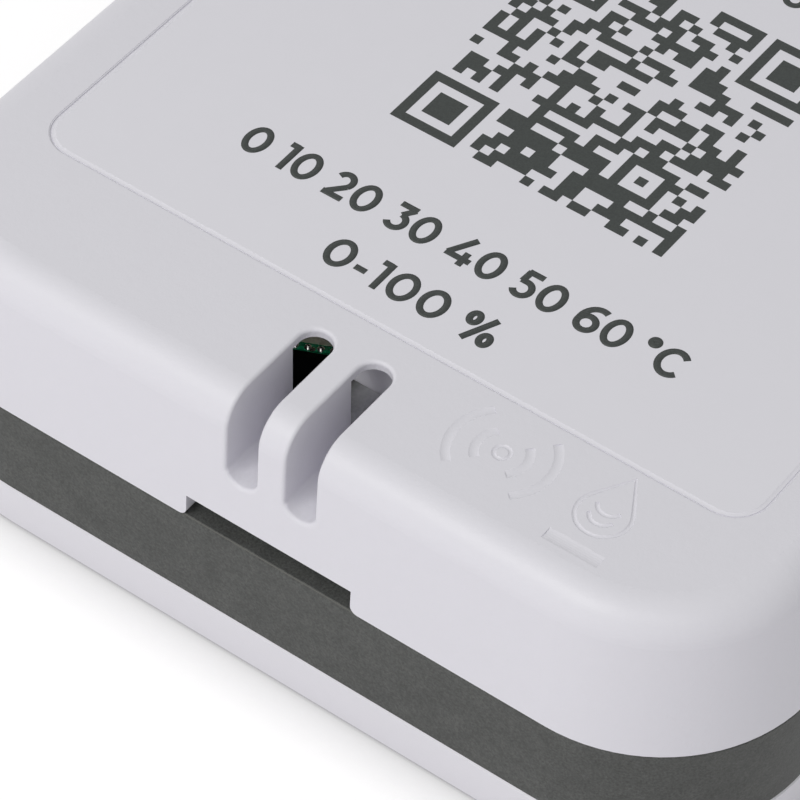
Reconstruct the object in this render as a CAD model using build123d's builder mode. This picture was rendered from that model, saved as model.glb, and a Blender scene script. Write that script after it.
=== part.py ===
from build123d import *
import math
import os

os.makedirs("parts", exist_ok=True)

# Housing: the corner seen from above, the lower two of its three stacked heights,
# and the free space that it leaves round the battery holder
corner_radius = 14.0
plate_height = 4.6
band_height = 9.2
holder_side_space = 7.2
holder_back_space = 1.25
electronics_length = 37.65
cell_headroom = 0.95
parting_chamfer = 0.2
cut_overrun = 1.0
skin_tolerance = 0.02

# Top cover: drafted shell with a soft top edge
cover_wall = 1.8
cover_skin = 1.4
draft_angle = 3.0
top_edge_radius = 3.0
inner_edge_chamfer = 1.0

# Vent slots that run over the front top edge, with deep fins behind them
vent_width = 2.82
vent_pitch = 5.36
vent_x = 0.2
vent_setback = 9.35
vent_skin = 0.8
vent_skin_margin = 0.9
vent_fin_lift = 0.475
vent_fin_wall = 1.3
vent_fin_setback = 0.8
vent_floor = 3.4
vent_corner_radius = 0.6
vent_mouth_radius = 0.3

# Baffle rib that hangs behind the right-hand vent
baffle_left = 1.9
baffle_right = 6.0
baffle_thickness = 1.1
baffle_lap = 1.0
baffle_gap = 0.1

# Pry notch in the front of the cover's lower edge
notch_x = 0.2
notch_width = 15.3
notch_height = 2.2
notch_corner = 0.7

# Label pocket and film
label_side_margin = 6.75
label_back_margin = 6.8
label_front_margin = 13.5
label_corner = 3.0
label_recess = 0.3
label_thickness = 0.25
label_gap = 0.08
label_edge_radius = 0.15

# Snap ridges between cover and tray
ridge_length = 8.0
ridge_spacing = 30.0
ridge_rise = 0.5
ridge_height = 1.4
ridge_flat = 0.4
ridge_lift = 1.1
ridge_root = 0.4
ridge_gap = 0.15

# Base tray: grey band, floor and upstand that the cover slides over
tray_floor = 2.0
upstand_thickness = 1.2
upstand_height = 3.0
cover_gap = 0.15

# Pedestal under the right-hand vent
pedestal_left = 2.2
pedestal_right = 6.0
pedestal_depth = 3.5
pedestal_below_top = 6.0
pedestal_gap = 0.55
pedestal_wall = 1.2

# Wall plate
plate_floor = 2.0
plate_rim = 2.0
plate_edge_chamfer = 0.4
plate_rib_thickness = 1.2
plate_rib_x = 15.0
plate_boss_radius = 3.5
wall_hole_radius = 2.25
wall_hole_spacing = 60.0
wall_pad_radius = 5.2
wall_pad_height = 0.6

# Screws that hold the tray to the wall plate
plate_screw_inset = 3.55
plate_screw_y = 15.0
plate_screw_radius = 1.25
plate_screw_head_radius = 2.6
plate_screw_head_height = 1.6
plate_screw_skin = 1.1
plate_screw_hole_radius = 1.5

# Main circuit board and the screws that hold it
board_lift = 2.0
board_thickness = 1.6
board_edge_gap = 0.9
board_corner = 9.5
board_screw_side_inset = 4.15
board_screw_end_inset = 10.15
board_screw_radius = 1.0
board_screw_head_radius = 1.9
board_screw_head_height = 1.3
board_screw_bite = 0.8
board_hole_radius = 1.2
standoff_radius = 2.8
screw_fit = 0.05
screw_edge = 0.5
screw_point = 0.6
board_relief_radius = 3.3
board_pedestal_gap = 0.6

# Plug-in sensor board, turned on the main board behind the left-hand vent
sensor_turn = 25.0
sensor_front_x = -6.93
sensor_setback = 14.25
sensor_board_width = 9.0
sensor_board_depth = 9.0
sensor_board_thickness = 0.8
sensor_board_below_top = 8.0
socket_width = 8.0
socket_depth = 2.2
socket_inset = 0.1
socket_groove = 0.25
header_pitch = 1.0
header_count = 7
header_row_inset = 0.36
pin_side = 0.4
pin_fit = 0.03
pin_depth = 4.0
solder_radius = 0.3
solder_height = 0.3
solder_slope_share = 0.6

# Humidity and temperature sensor chip
chip_side = 3.0
chip_height = 0.7
chip_setback = 0.85
chip_shift = 0.5
membrane_radius = 1.2
membrane_height = 0.2

# Radio board with its shield
radio_side_gap = 7.25
radio_holder_gap = 4.5
radio_width = 16.0
radio_length = 18.0
radio_thickness = 0.8
shield_width = 13.6
shield_length = 13.0
shield_height = 2.0
shield_wall = 0.2
shield_corner = 0.6
castellation_radius = 0.4
castellation_pitch = 2.0
castellation_count = 8

# Chip antenna in front of the radio board
antenna_front_gap = 3.25
antenna_width = 7.0
antenna_length = 2.0
antenna_height = 1.2
antenna_cap = 1.0
antenna_cap_thickness = 0.1

# Controller chip beside the radio board
controller_gap = 4.5
controller_side = 7.0
controller_height = 1.1
controller_lead_pitch = 0.8
controller_lead_count = 8

# Memory chip on the left side of the board
memory_side_gap = 10.75
memory_holder_gap = 3.5
memory_width = 5.0
memory_length = 4.0
memory_height = 1.4
memory_lead_pitch = 1.27
memory_lead_count = 4

# Lead shape shared by both leaded chips
lead_width = 0.32
lead_foot = 0.55
lead_rise = 0.55
lead_thickness = 0.18
chip_lift = 0.1
chip_edge_chamfer = 0.15

# Crystal behind the controller
crystal_gap = 3.3
crystal_width = 5.0
crystal_length = 3.2
crystal_height = 1.1
crystal_corner = 0.7

# Reservoir capacitor on the left side of the board
reservoir_side_gap = 7.25
reservoir_holder_gap = 13.5
reservoir_radius = 4.0
reservoir_height = 10.0
reservoir_base_side = 8.6
reservoir_base_height = 1.0
reservoir_groove_depth = 0.35
reservoir_groove_height = 2.2
reservoir_edge = 0.5

# Chip capacitors and resistors
small_part_length = 1.6
small_part_width = 0.8
capacitor_height = 0.8
resistor_height = 0.45
capacitor_pitch_x = 6.0
capacitor_pitch_y = 1.5
capacitor_column_count = 2
capacitor_row_count = 4
capacitor_side_gap = 10.0
capacitor_front_gap = 2.0
resistor_pitch = 2.6
resistor_count = 5
resistor_gap = 4.6

# Programming header beside the memory chip
program_gap = 11.0
program_pitch = 1.27
program_column_count = 5
program_row_count = 2
program_margin = 0.64
program_base_height = 1.2
program_pin_side = 0.4
program_pin_height = 3.6

# Battery holder and the two cells that lie in it
cell_radius = 7.25
cell_length = 50.5
cell_nub_radius = 2.75
cell_nub_length = 1.3
cell_edge = 0.5
cell_seat_gap = 0.15
cell_side_gap = 0.2
holder_wall = 1.2
holder_floor = 0.8
holder_height = 9.0
holder_corner = 1.0
holder_window_length = 26.0
holder_window_width = 5.0
contact_space = 2.5
contact_thickness = 0.4
contact_width = 8.0
contact_height = 9.8
contact_wall_gap = 0.05
contact_cell_gap = 0.05
contact_leaf_height = 8.2
link_gap = 0.1
tail_length = 0.8
tail_width = 1.5
tail_fit = 0.1

# Battery holder worked out from the cells
bay_width = 2 * (cell_radius + cell_side_gap)
bay_length = cell_length + 2 * contact_space
cell_pitch = bay_width + holder_wall
holder_length = bay_length + 2 * holder_wall
holder_width = 2 * bay_width + 3 * holder_wall

# Outline worked out from the holder, inside to outside
upstand_inset = cover_wall + cover_gap
rim_inset = upstand_inset + upstand_thickness
tray_inside_width = holder_length + 2 * holder_side_space
tray_inside_length = electronics_length + holder_width + holder_back_space
tray_inside_corner = corner_radius - rim_inset
body_width = tray_inside_width + 2 * rim_inset
body_length = tray_inside_length + 2 * rim_inset
front_face = -body_length / 2
board_width = tray_inside_width - 2 * board_edge_gap
board_length = tray_inside_length - 2 * board_edge_gap

# Levels worked out from the stack
tray_floor_top = plate_height + tray_floor
board_bottom = tray_floor_top + board_lift
board_top = board_bottom + board_thickness
holder_floor_top = board_top + holder_floor
cell_z = holder_floor_top + cell_seat_gap + cell_radius
cover_bottom = plate_height + band_height
body_top = cell_z + cell_radius + cell_headroom + cover_skin
cover_height = body_top - cover_bottom

# Battery bays and the leaf contacts at their ends
holder_front_y = tray_inside_length / 2 - holder_back_space - holder_width
cell_pair_y = holder_front_y + holder_width / 2
bay_rows_y = {
    "front": cell_pair_y - cell_pitch / 2,
    "rear": cell_pair_y + cell_pitch / 2,
}
bays_at = [(0, y) for y in bay_rows_y.values()]
contact_back_x = bay_length / 2 - contact_wall_gap
contact_middle_x = contact_back_x - contact_thickness / 2
tails_at = [(-contact_middle_x, y) for y in bay_rows_y.values()]

# Places of the chips, counted from the board's edges and from each other
radio_x = board_width / 2 - radio_side_gap - radio_width / 2
radio_y = holder_front_y - radio_holder_gap - radio_length / 2
antenna_x = radio_x
antenna_y = antenna_front_gap + antenna_length / 2 - board_length / 2
controller_x = radio_x - radio_width / 2 - controller_gap - controller_side / 2
controller_y = radio_y
crystal_x = controller_x
crystal_y = controller_y + controller_side / 2 + crystal_gap + crystal_length / 2
memory_x = memory_side_gap + memory_width / 2 - board_width / 2
memory_y = holder_front_y - memory_holder_gap - memory_length / 2
program_x = memory_x + program_gap
program_y = memory_y
resistor_x = (memory_x + program_x) / 2
resistor_y = program_y - resistor_gap
reservoir_x = reservoir_side_gap + reservoir_radius - board_width / 2
reservoir_y = holder_front_y - reservoir_holder_gap - reservoir_radius
capacitor_x = capacitor_side_gap + (capacitor_pitch_x + small_part_length - board_width) / 2
capacitor_y = (
    capacitor_front_gap
    + ((capacitor_row_count - 1) * capacitor_pitch_y + small_part_width - board_length) / 2
)

# Vent levels and places
vent_radius = vent_width / 2
vent_back_y = front_face + vent_setback
vent_bottom = cover_bottom + upstand_height + vent_fin_lift + vent_floor
vent_low_z = vent_bottom + vent_corner_radius
vent_drop = body_top - vent_low_z
vent_height = body_top + cut_overrun - vent_bottom
vent_outer_x = vent_pitch / 2 + vent_radius
fin_back_y = vent_back_y - vent_fin_setback
fin_bottom = vent_bottom - vent_floor
pedestal_top = body_top - pedestal_below_top
pedestal_front_y = fin_back_y + pedestal_gap
pedestal_back_y = pedestal_front_y + pedestal_depth
baffle_front_y = pedestal_back_y + baffle_gap


def export_piece(piece, name):
    """Label a finished piece and write its own file."""
    piece.part.label = name
    export_step(piece.part, f"parts/{name}.step")


def strip_of(low, high):
    """Middle and length of a span."""
    return (low + high) / 2, high - low


# Plain outside form of the cover, before anything is cut
with BuildPart() as cover_form:
    with BuildSketch(Plane.XY.offset(cover_bottom)):
        RectangleRounded(body_width, body_length, corner_radius)
    extrude(amount=cover_height, taper=draft_angle)
    fillet(cover_form.faces().sort_by(Axis.Z)[-1].edges(), top_edge_radius)

# Space inside the cover, with the vent fins and the baffle rib left standing,
# and with a thinner skin behind the fins
fin_middle_y, fin_depth = strip_of(front_face, fin_back_y)
baffle_middle_x, baffle_width = strip_of(-baffle_left, baffle_right)
thin_middle_y, thin_length = strip_of(fin_back_y, vent_back_y + vent_radius + vent_skin_margin)
with BuildPart() as cover_space:
    with BuildSketch(Plane.XY.offset(cover_bottom)):
        RectangleRounded(
            body_width - 2 * cover_wall,
            body_length - 2 * cover_wall,
            corner_radius - cover_wall,
        )
    extrude(amount=cover_height - cover_skin, taper=draft_angle)
    chamfer(cover_space.faces().sort_by(Axis.Z)[-1].edges(), inner_edge_chamfer)
    with BuildSketch(Plane.XY.offset(fin_bottom)):
        with Locations((vent_x, fin_middle_y)):
            Rectangle(2 * (vent_outer_x + vent_fin_wall), fin_depth)
    extrude(amount=body_top - fin_bottom, mode=Mode.SUBTRACT)
    with BuildSketch(Plane.XY.offset(pedestal_top - baffle_lap)):
        with Locations((baffle_middle_x, baffle_front_y + baffle_thickness / 2)):
            Rectangle(baffle_width, baffle_thickness)
    extrude(amount=body_top - pedestal_top + baffle_lap, mode=Mode.SUBTRACT)
    with BuildSketch(Plane.XY.offset(body_top - cover_skin - cut_overrun)):
        with Locations((vent_x, thin_middle_y)):
            Rectangle(2 * (vent_outer_x + vent_fin_wall), thin_length)
    extrude(amount=cover_skin + cut_overrun - vent_skin)


def mouth_edges(part, form):
    """Edges of the fresh slots that lie on the outside form."""
    skin = Compound(children=form.faces())
    edges = part.edges(Select.LAST)
    return [edge for edge in edges if skin.distance_to(edge @ 0.5) < skin_tolerance]


# Top cover
label_width = body_width - 2 * label_side_margin
label_length = body_length - label_front_margin - label_back_margin
label_middle_y = front_face + label_front_margin + label_length / 2
vent_places = [(vent_x + side * vent_pitch / 2, 0) for side in (-1, 1)]
notch_ends_at = [(notch_x + side * notch_width / 2, cover_bottom) for side in (-1, 1)]
notch_corner_x = notch_width / 2 + notch_corner
notch_corners_at = [
    (notch_x + side * notch_corner_x, cover_bottom + notch_corner) for side in (-1, 1)
]
with BuildPart() as top_cover:
    add(cover_form.part)
    with BuildSketch(Plane.XY.offset(vent_low_z)) as vents_from_above:
        with Locations(Location((0, vent_back_y))):
            with Locations(*vent_places):
                Circle(vent_radius)
                Rectangle(vent_width, vent_setback + cut_overrun, align=(Align.CENTER, Align.MAX))
    with BuildSketch(Plane.XZ.offset(-vent_back_y)) as vents_from_front:
        with Locations(Location((0, vent_bottom))):
            with Locations(*vent_places):
                Rectangle(vent_width, vent_height, align=(Align.CENTER, Align.MIN))
        fillet(vents_from_front.vertices().group_by(Axis.Y)[0], vent_corner_radius)
    vents_up = extrude(vents_from_above.sketch, amount=vent_drop + cut_overrun, mode=Mode.PRIVATE)
    vents_out = extrude(vents_from_front.sketch, amount=vent_setback + cut_overrun, mode=Mode.PRIVATE)
    add([vents_up + vents_out], mode=Mode.SUBTRACT)
    fillet(mouth_edges(top_cover, cover_form), vent_mouth_radius)
    add(cover_space.part, mode=Mode.SUBTRACT)
    with BuildSketch(Plane.XY.offset(body_top - label_recess)):
        with Locations((0, label_middle_y)):
            RectangleRounded(label_width, label_length, label_corner)
    extrude(amount=label_recess + cut_overrun, mode=Mode.SUBTRACT)
    with BuildSketch(Plane.XZ.offset(-front_face - cover_wall - cover_gap)):
        with Locations((notch_x, cover_bottom)):
            Rectangle(notch_width, 2 * notch_height)
        with Locations(*notch_ends_at):
            Rectangle(2 * notch_corner, 2 * notch_corner)
        with Locations(*notch_corners_at):
            Circle(notch_corner, mode=Mode.SUBTRACT)
    extrude(amount=cover_wall + cover_gap + cut_overrun, mode=Mode.SUBTRACT)
    ridge_middle_z = cover_bottom + ridge_lift
    for side in (-1, 1):
        wall_x = body_width / 2 - cover_wall
        tip_x = wall_x - ridge_rise
        root_x = wall_x + ridge_root
        with BuildSketch(Plane.XZ.offset(ridge_spacing / 2 - ridge_length / 2)):
            with BuildLine():
                Polyline(
                    (side * root_x, ridge_middle_z - ridge_height / 2),
                    (side * tip_x, ridge_middle_z - ridge_flat / 2),
                    (side * tip_x, ridge_middle_z + ridge_flat / 2),
                    (side * root_x, ridge_middle_z + ridge_height / 2),
                    close=True,
                )
            make_face()
        front_ridge = extrude(amount=ridge_length)
        mirror(front_ridge, about=Plane.XZ)
export_piece(top_cover, "top_cover")

# Printed film that lies in the pocket of the cover
with BuildPart() as label_film:
    with BuildSketch(Plane.XY.offset(body_top - label_recess)):
        with Locations((0, label_middle_y)):
            RectangleRounded(
                label_width - 2 * label_gap,
                label_length - 2 * label_gap,
                label_corner - label_gap,
            )
    extrude(amount=label_thickness)
    fillet(label_film.faces().sort_by(Axis.Z)[-1].edges(), label_edge_radius)
export_piece(label_film, "label_film")

# Places of the screws and of what stands round them
plate_screw_x = tray_inside_width / 2 - plate_screw_inset
plate_screw_length = tray_floor + plate_height - plate_screw_skin
plate_screws_at = [
    (side * plate_screw_x, end * plate_screw_y) for side in (-1, 1) for end in (-1, 1)
]
board_screw_x = tray_inside_width / 2 - board_screw_side_inset
board_screw_y = tray_inside_length / 2 - board_screw_end_inset
board_screw_length = board_thickness + board_lift + board_screw_bite
board_screws_at = [
    (side * board_screw_x, end * board_screw_y) for side in (-1, 1) for end in (-1, 1)
]
wall_holes_at = [(-wall_hole_spacing / 2, 0), (wall_hole_spacing / 2, 0)]

# Base tray
pedestal_middle_x, pedestal_width = strip_of(-pedestal_left, pedestal_right)
pedestal_middle_y = (pedestal_front_y + pedestal_back_y) / 2
with BuildPart() as base_tray:
    with BuildSketch(Plane.XY.offset(plate_height)):
        RectangleRounded(body_width, body_length, corner_radius)
    extrude(amount=band_height)
    band_faces = base_tray.faces().sort_by(Axis.Z)
    chamfer(band_faces[0].edges() + band_faces[-1].edges(), parting_chamfer)
    with BuildSketch(Plane.XY.offset(cover_bottom)):
        RectangleRounded(
            body_width - 2 * upstand_inset,
            body_length - 2 * upstand_inset,
            corner_radius - upstand_inset,
        )
    extrude(amount=upstand_height, taper=draft_angle)
    with BuildSketch(Plane.XY.offset(tray_floor_top)):
        RectangleRounded(tray_inside_width, tray_inside_length, tray_inside_corner)
    extrude(amount=band_height + upstand_height, mode=Mode.SUBTRACT)
    for side in (-1, 1):
        groove_outer_x = body_width / 2 - upstand_inset + cut_overrun
        groove_inner_x = body_width / 2 - cover_wall - ridge_rise - ridge_gap
        groove_x = side * (groove_outer_x + groove_inner_x) / 2
        with BuildSketch(Plane.XY.offset(ridge_middle_z - ridge_height / 2 - ridge_gap)):
            with Locations((groove_x, -ridge_spacing / 2), (groove_x, ridge_spacing / 2)):
                Rectangle(groove_outer_x - groove_inner_x, ridge_length + 2 * ridge_gap)
        extrude(amount=ridge_height + 2 * ridge_gap, mode=Mode.SUBTRACT)
    with BuildSketch(Plane.XY.offset(tray_floor_top)):
        with Locations(*board_screws_at):
            Circle(standoff_radius)
    extrude(amount=board_lift)
    with BuildSketch(Plane.XY.offset(tray_floor_top)):
        with Locations((pedestal_middle_x, pedestal_middle_y)):
            Rectangle(pedestal_width, pedestal_depth)
    extrude(amount=pedestal_top - tray_floor_top)
    with BuildSketch(Plane.XY.offset(plate_height)):
        with Locations((pedestal_middle_x, pedestal_middle_y)):
            Rectangle(pedestal_width - 2 * pedestal_wall, pedestal_depth - 2 * pedestal_wall)
    extrude(amount=pedestal_top - plate_height - pedestal_wall, mode=Mode.SUBTRACT)
    with BuildSketch(Plane.XY.offset(board_bottom)):
        with Locations(*board_screws_at):
            Circle(board_screw_radius + screw_fit)
    extrude(amount=board_thickness - board_screw_length - screw_fit, mode=Mode.SUBTRACT)
    with BuildSketch(Plane.XY.offset(plate_height)):
        with Locations(*plate_screws_at):
            Circle(plate_screw_hole_radius)
    extrude(amount=tray_floor, mode=Mode.SUBTRACT)
export_piece(base_tray, "base_tray")

# Wall plate, closed towards the wall and open towards the tray
plate_inside_width = body_width - 2 * plate_rim
plate_inside_length = body_length - 2 * plate_rim
pocket_height = plate_height - plate_floor
with BuildPart() as back_plate:
    with BuildSketch():
        RectangleRounded(body_width, body_length, corner_radius)
    extrude(amount=plate_height)
    plate_faces = back_plate.faces().sort_by(Axis.Z)
    chamfer(plate_faces[0].edges(), plate_edge_chamfer)
    chamfer(plate_faces[-1].edges(), parting_chamfer)
    with BuildSketch(Plane.XY.offset(plate_floor)):
        RectangleRounded(plate_inside_width, plate_inside_length, corner_radius - plate_rim)
    extrude(amount=pocket_height, mode=Mode.SUBTRACT)
    with BuildSketch(Plane.XY.offset(plate_floor)):
        with Locations((-plate_rib_x, 0), (plate_rib_x, 0)):
            Rectangle(plate_rib_thickness, plate_inside_length + plate_rim)
        with Locations((0, -plate_screw_y), (0, plate_screw_y)):
            Rectangle(plate_inside_width + plate_rim, plate_rib_thickness)
        with Locations(*plate_screws_at):
            Circle(plate_boss_radius)
    extrude(amount=pocket_height)
    with BuildSketch(Plane.XY.offset(plate_floor)):
        with Locations(*wall_holes_at):
            Circle(wall_pad_radius)
    extrude(amount=wall_pad_height)
    with BuildSketch():
        with Locations(*wall_holes_at):
            Circle(wall_hole_radius)
    extrude(amount=plate_height, mode=Mode.SUBTRACT)
    with BuildSketch(Plane.XY.offset(plate_height)):
        with Locations(*plate_screws_at):
            Circle(plate_screw_radius + screw_fit)
    extrude(amount=tray_floor - plate_screw_length - screw_fit, mode=Mode.SUBTRACT)
export_piece(back_plate, "back_plate")


def upright_plane(x, y, z):
    """Plane that faces the front, with its origin at a place on the board or plate."""
    return Plane(origin=(x, y, z), x_dir=(1, 0, 0), z_dir=(0, -1, 0))


def screw_outline(radius, head_radius, head_height, length):
    """Half outline of a pan-head screw, with the seat of its head at height zero."""
    Polyline(
        (0, -length),
        (radius / 2, -length),
        (radius, screw_point - length),
        (radius, 0),
        (head_radius, 0),
        (head_radius, head_height - screw_edge),
        (head_radius - screw_edge, head_height),
        (0, head_height),
        close=True,
    )


# Four screws that hold the tray to the wall plate
with BuildPart() as plate_screws:
    for x, y in plate_screws_at:
        with BuildSketch(upright_plane(x, y, tray_floor_top)):
            with BuildLine():
                screw_outline(plate_screw_radius, plate_screw_head_radius, plate_screw_head_height,
                              plate_screw_length)
            make_face()
        revolve(axis=Axis((x, y, 0), (0, 0, 1)))
export_piece(plate_screws, "plate_screws")

# Four screws that hold the circuit board
with BuildPart() as board_screws:
    for x, y in board_screws_at:
        with BuildSketch(upright_plane(x, y, board_top)):
            with BuildLine():
                screw_outline(board_screw_radius, board_screw_head_radius, board_screw_head_height,
                              board_screw_length)
            make_face()
        revolve(axis=Axis((x, y, 0), (0, 0, 1)))
export_piece(board_screws, "board_screws")

# Main circuit board, cut back round the pedestal and the plate screws
with BuildPart() as circuit_board:
    with BuildSketch(Plane.XY.offset(board_bottom)):
        RectangleRounded(board_width, board_length, board_corner)
        with Locations((pedestal_middle_x, pedestal_back_y + board_pedestal_gap)):
            Rectangle(
                pedestal_width + 2 * board_pedestal_gap,
                body_length / 2,
                align=(Align.CENTER, Align.MAX),
                mode=Mode.SUBTRACT,
            )
        with Locations(*plate_screws_at):
            Circle(board_relief_radius, mode=Mode.SUBTRACT)
        with Locations(*[(x + math.copysign(plate_boss_radius, x), y) for x, y in plate_screws_at]):
            Rectangle(2 * plate_boss_radius, 2 * board_relief_radius, mode=Mode.SUBTRACT)
        with Locations(*board_screws_at):
            Circle(board_hole_radius, mode=Mode.SUBTRACT)
        with Locations(*tails_at):
            Rectangle(contact_thickness + 2 * tail_fit, tail_width + 2 * tail_fit, mode=Mode.SUBTRACT)
    extrude(amount=board_thickness)
export_piece(circuit_board, "circuit_board")

# Plug-in sensor board on two sockets, with its soldered pins
turn = math.radians(sensor_turn)
sensor_board_top = body_top - sensor_board_below_top
sensor_board_bottom = sensor_board_top - sensor_board_thickness
sensor_plane = Plane(
    origin=(sensor_front_x, front_face + sensor_setback, 0),
    x_dir=(math.cos(turn), math.sin(turn), 0),
    z_dir=(0, 0, 1),
)
pin_rows_y = {
    "front": header_row_inset,
    "rear": sensor_board_depth - header_row_inset,
}
socket_rows_y = {
    "front": socket_inset + socket_depth / 2,
    "rear": sensor_board_depth - socket_inset - socket_depth / 2,
}
with BuildPart() as sensor_board:
    with BuildSketch(sensor_plane.offset(sensor_board_bottom)):
        with Locations((0, sensor_board_depth / 2)):
            Rectangle(sensor_board_width, sensor_board_depth)
        for row_y in pin_rows_y.values():
            with Locations((0, row_y)):
                with GridLocations(header_pitch, 0, header_count, 1):
                    Rectangle(pin_side + 2 * pin_fit, pin_side + 2 * pin_fit, mode=Mode.SUBTRACT)
    extrude(amount=sensor_board_thickness)
export_piece(sensor_board, "sensor_board")
for side, row_y in pin_rows_y.items():
    with BuildPart() as socket:
        with BuildSketch(sensor_plane.offset(board_top)):
            with Locations((0, socket_rows_y[side])):
                Rectangle(socket_width, socket_depth)
        extrude(amount=sensor_board_bottom - board_top)
        chamfer(socket.edges().filter_by(Axis.Z), socket_groove)
        with BuildSketch(sensor_plane.offset(sensor_board_bottom)):
            with Locations((0, row_y)):
                with GridLocations(header_pitch, 0, header_count, 1):
                    Rectangle(pin_side + 2 * pin_fit, pin_side + 2 * pin_fit)
        extrude(amount=-pin_depth - pin_fit, mode=Mode.SUBTRACT)
    export_piece(socket, f"sensor_socket_{side}")
    with BuildPart() as pins:
        with BuildSketch(sensor_plane.offset(sensor_board_bottom - pin_depth)):
            with Locations((0, row_y)):
                with GridLocations(header_pitch, 0, header_count, 1):
                    Rectangle(pin_side, pin_side)
        extrude(amount=pin_depth + sensor_board_thickness)
        with BuildSketch(sensor_plane.offset(sensor_board_top)):
            with Locations((0, row_y)):
                with GridLocations(header_pitch, 0, header_count, 1):
                    Circle(solder_radius)
        extrude(amount=solder_height)
        domes = pins.edges().filter_by(GeomType.CIRCLE).group_by(Axis.Z)[-1]
        chamfer(domes, solder_height * solder_slope_share)
    export_piece(pins, f"sensor_pins_{side}")

# Humidity and temperature sensor chip with its vent membrane
with BuildPart() as humidity_sensor:
    with BuildSketch(sensor_plane.offset(sensor_board_top)):
        with Locations((chip_shift, chip_setback + chip_side / 2)):
            Rectangle(chip_side, chip_side)
    extrude(amount=chip_height)
    chamfer(humidity_sensor.faces().sort_by(Axis.Z)[-1].edges(), chip_edge_chamfer)
    with BuildSketch(sensor_plane.offset(sensor_board_top + chip_height)):
        with Locations((chip_shift, chip_setback + chip_side / 2)):
            Circle(membrane_radius)
    extrude(amount=membrane_height)
export_piece(humidity_sensor, "humidity_sensor")

# Radio board with half-round solder notches along its sides
notch_rows = [(radio_x + side * radio_width / 2, radio_y) for side in (-1, 1)]
with BuildPart() as radio_board:
    with BuildSketch(Plane.XY.offset(board_top)):
        with Locations((radio_x, radio_y)):
            Rectangle(radio_width, radio_length)
        with Locations(*notch_rows):
            with GridLocations(0, castellation_pitch, 1, castellation_count):
                Circle(castellation_radius, mode=Mode.SUBTRACT)
    extrude(amount=radio_thickness)
export_piece(radio_board, "radio_board")

# Drawn metal can over the radio
with BuildPart() as radio_shield:
    with BuildSketch(Plane.XY.offset(board_top + radio_thickness)):
        with Locations((radio_x, radio_y)):
            RectangleRounded(shield_width, shield_length, shield_corner)
    extrude(amount=shield_height)
    chamfer(radio_shield.faces().sort_by(Axis.Z)[-1].edges(), shield_corner / 2)
    with BuildSketch(Plane.XY.offset(board_top + radio_thickness)):
        with Locations((radio_x, radio_y)):
            RectangleRounded(
                shield_width - 2 * shield_wall,
                shield_length - 2 * shield_wall,
                shield_corner - shield_wall,
            )
    extrude(amount=shield_height - shield_wall, mode=Mode.SUBTRACT)
export_piece(radio_shield, "radio_shield")

# Ceramic antenna with its end caps
with BuildPart() as chip_antenna:
    with BuildSketch(Plane.XY.offset(board_top + antenna_cap_thickness)):
        with Locations((antenna_x, antenna_y)):
            Rectangle(
                antenna_width - 2 * antenna_cap_thickness,
                antenna_length - 2 * antenna_cap_thickness,
            )
    extrude(amount=antenna_height - 2 * antenna_cap_thickness)
    cap_x = (antenna_width - antenna_cap) / 2
    with BuildSketch(Plane.XY.offset(board_top)):
        with Locations((antenna_x - cap_x, antenna_y), (antenna_x + cap_x, antenna_y)):
            Rectangle(antenna_cap, antenna_length)
    extrude(amount=antenna_height)
export_piece(chip_antenna, "chip_antenna")


def lead_rows(x, y, width, length, pitch, count, turned):
    """Middle points of the leads on two opposite sides of a chip."""
    half_row = (count - 1) / 2
    steps = [(index - half_row) * pitch for index in range(count)]
    if turned:
        return [(x + step, y + side * length / 2) for side in (-1, 1) for step in steps]
    return [(x + side * width / 2, y + step) for side in (-1, 1) for step in steps]


# Controller chip with leads on all four sides
controller_base = board_top + chip_lift
side_leads = lead_rows(controller_x, controller_y, controller_side, controller_side,
                       controller_lead_pitch, controller_lead_count, False)
end_leads = lead_rows(controller_x, controller_y, controller_side, controller_side,
                      controller_lead_pitch, controller_lead_count, True)
with BuildPart() as controller_chip:
    with BuildSketch(Plane.XY.offset(controller_base)):
        with Locations((controller_x, controller_y)):
            Rectangle(controller_side, controller_side)
    extrude(amount=controller_height)
    chamfer(controller_chip.edges(), chip_edge_chamfer)
    with BuildSketch(Plane.XY.offset(board_top)):
        with Locations(*side_leads):
            Rectangle(2 * lead_foot, lead_width)
        with Locations(*end_leads):
            Rectangle(lead_width, 2 * lead_foot)
        with Locations((controller_x, controller_y)):
            Rectangle(
                controller_side - lead_thickness,
                controller_side - lead_thickness,
                mode=Mode.SUBTRACT,
            )
    extrude(amount=lead_thickness)
    with BuildSketch(Plane.XY.offset(board_top)):
        with Locations(*side_leads):
            Rectangle(2 * lead_thickness, lead_width)
        with Locations(*end_leads):
            Rectangle(lead_width, 2 * lead_thickness)
    extrude(amount=lead_rise)
export_piece(controller_chip, "controller_chip")

# Memory chip with leads on two sides
memory_leads = lead_rows(memory_x, memory_y, memory_width, memory_length,
                         memory_lead_pitch, memory_lead_count, True)
with BuildPart() as memory_chip:
    with BuildSketch(Plane.XY.offset(board_top + chip_lift)):
        with Locations((memory_x, memory_y)):
            Rectangle(memory_width, memory_length)
    extrude(amount=memory_height)
    chamfer(memory_chip.edges(), chip_edge_chamfer)
    with BuildSketch(Plane.XY.offset(board_top)):
        with Locations(*memory_leads):
            Rectangle(lead_width, 2 * lead_foot)
        with Locations((memory_x, memory_y)):
            Rectangle(memory_width, memory_length - lead_thickness, mode=Mode.SUBTRACT)
    extrude(amount=lead_thickness)
    with BuildSketch(Plane.XY.offset(board_top)):
        with Locations(*memory_leads):
            Rectangle(lead_width, 2 * lead_thickness)
    extrude(amount=lead_rise)
export_piece(memory_chip, "memory_chip")

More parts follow.
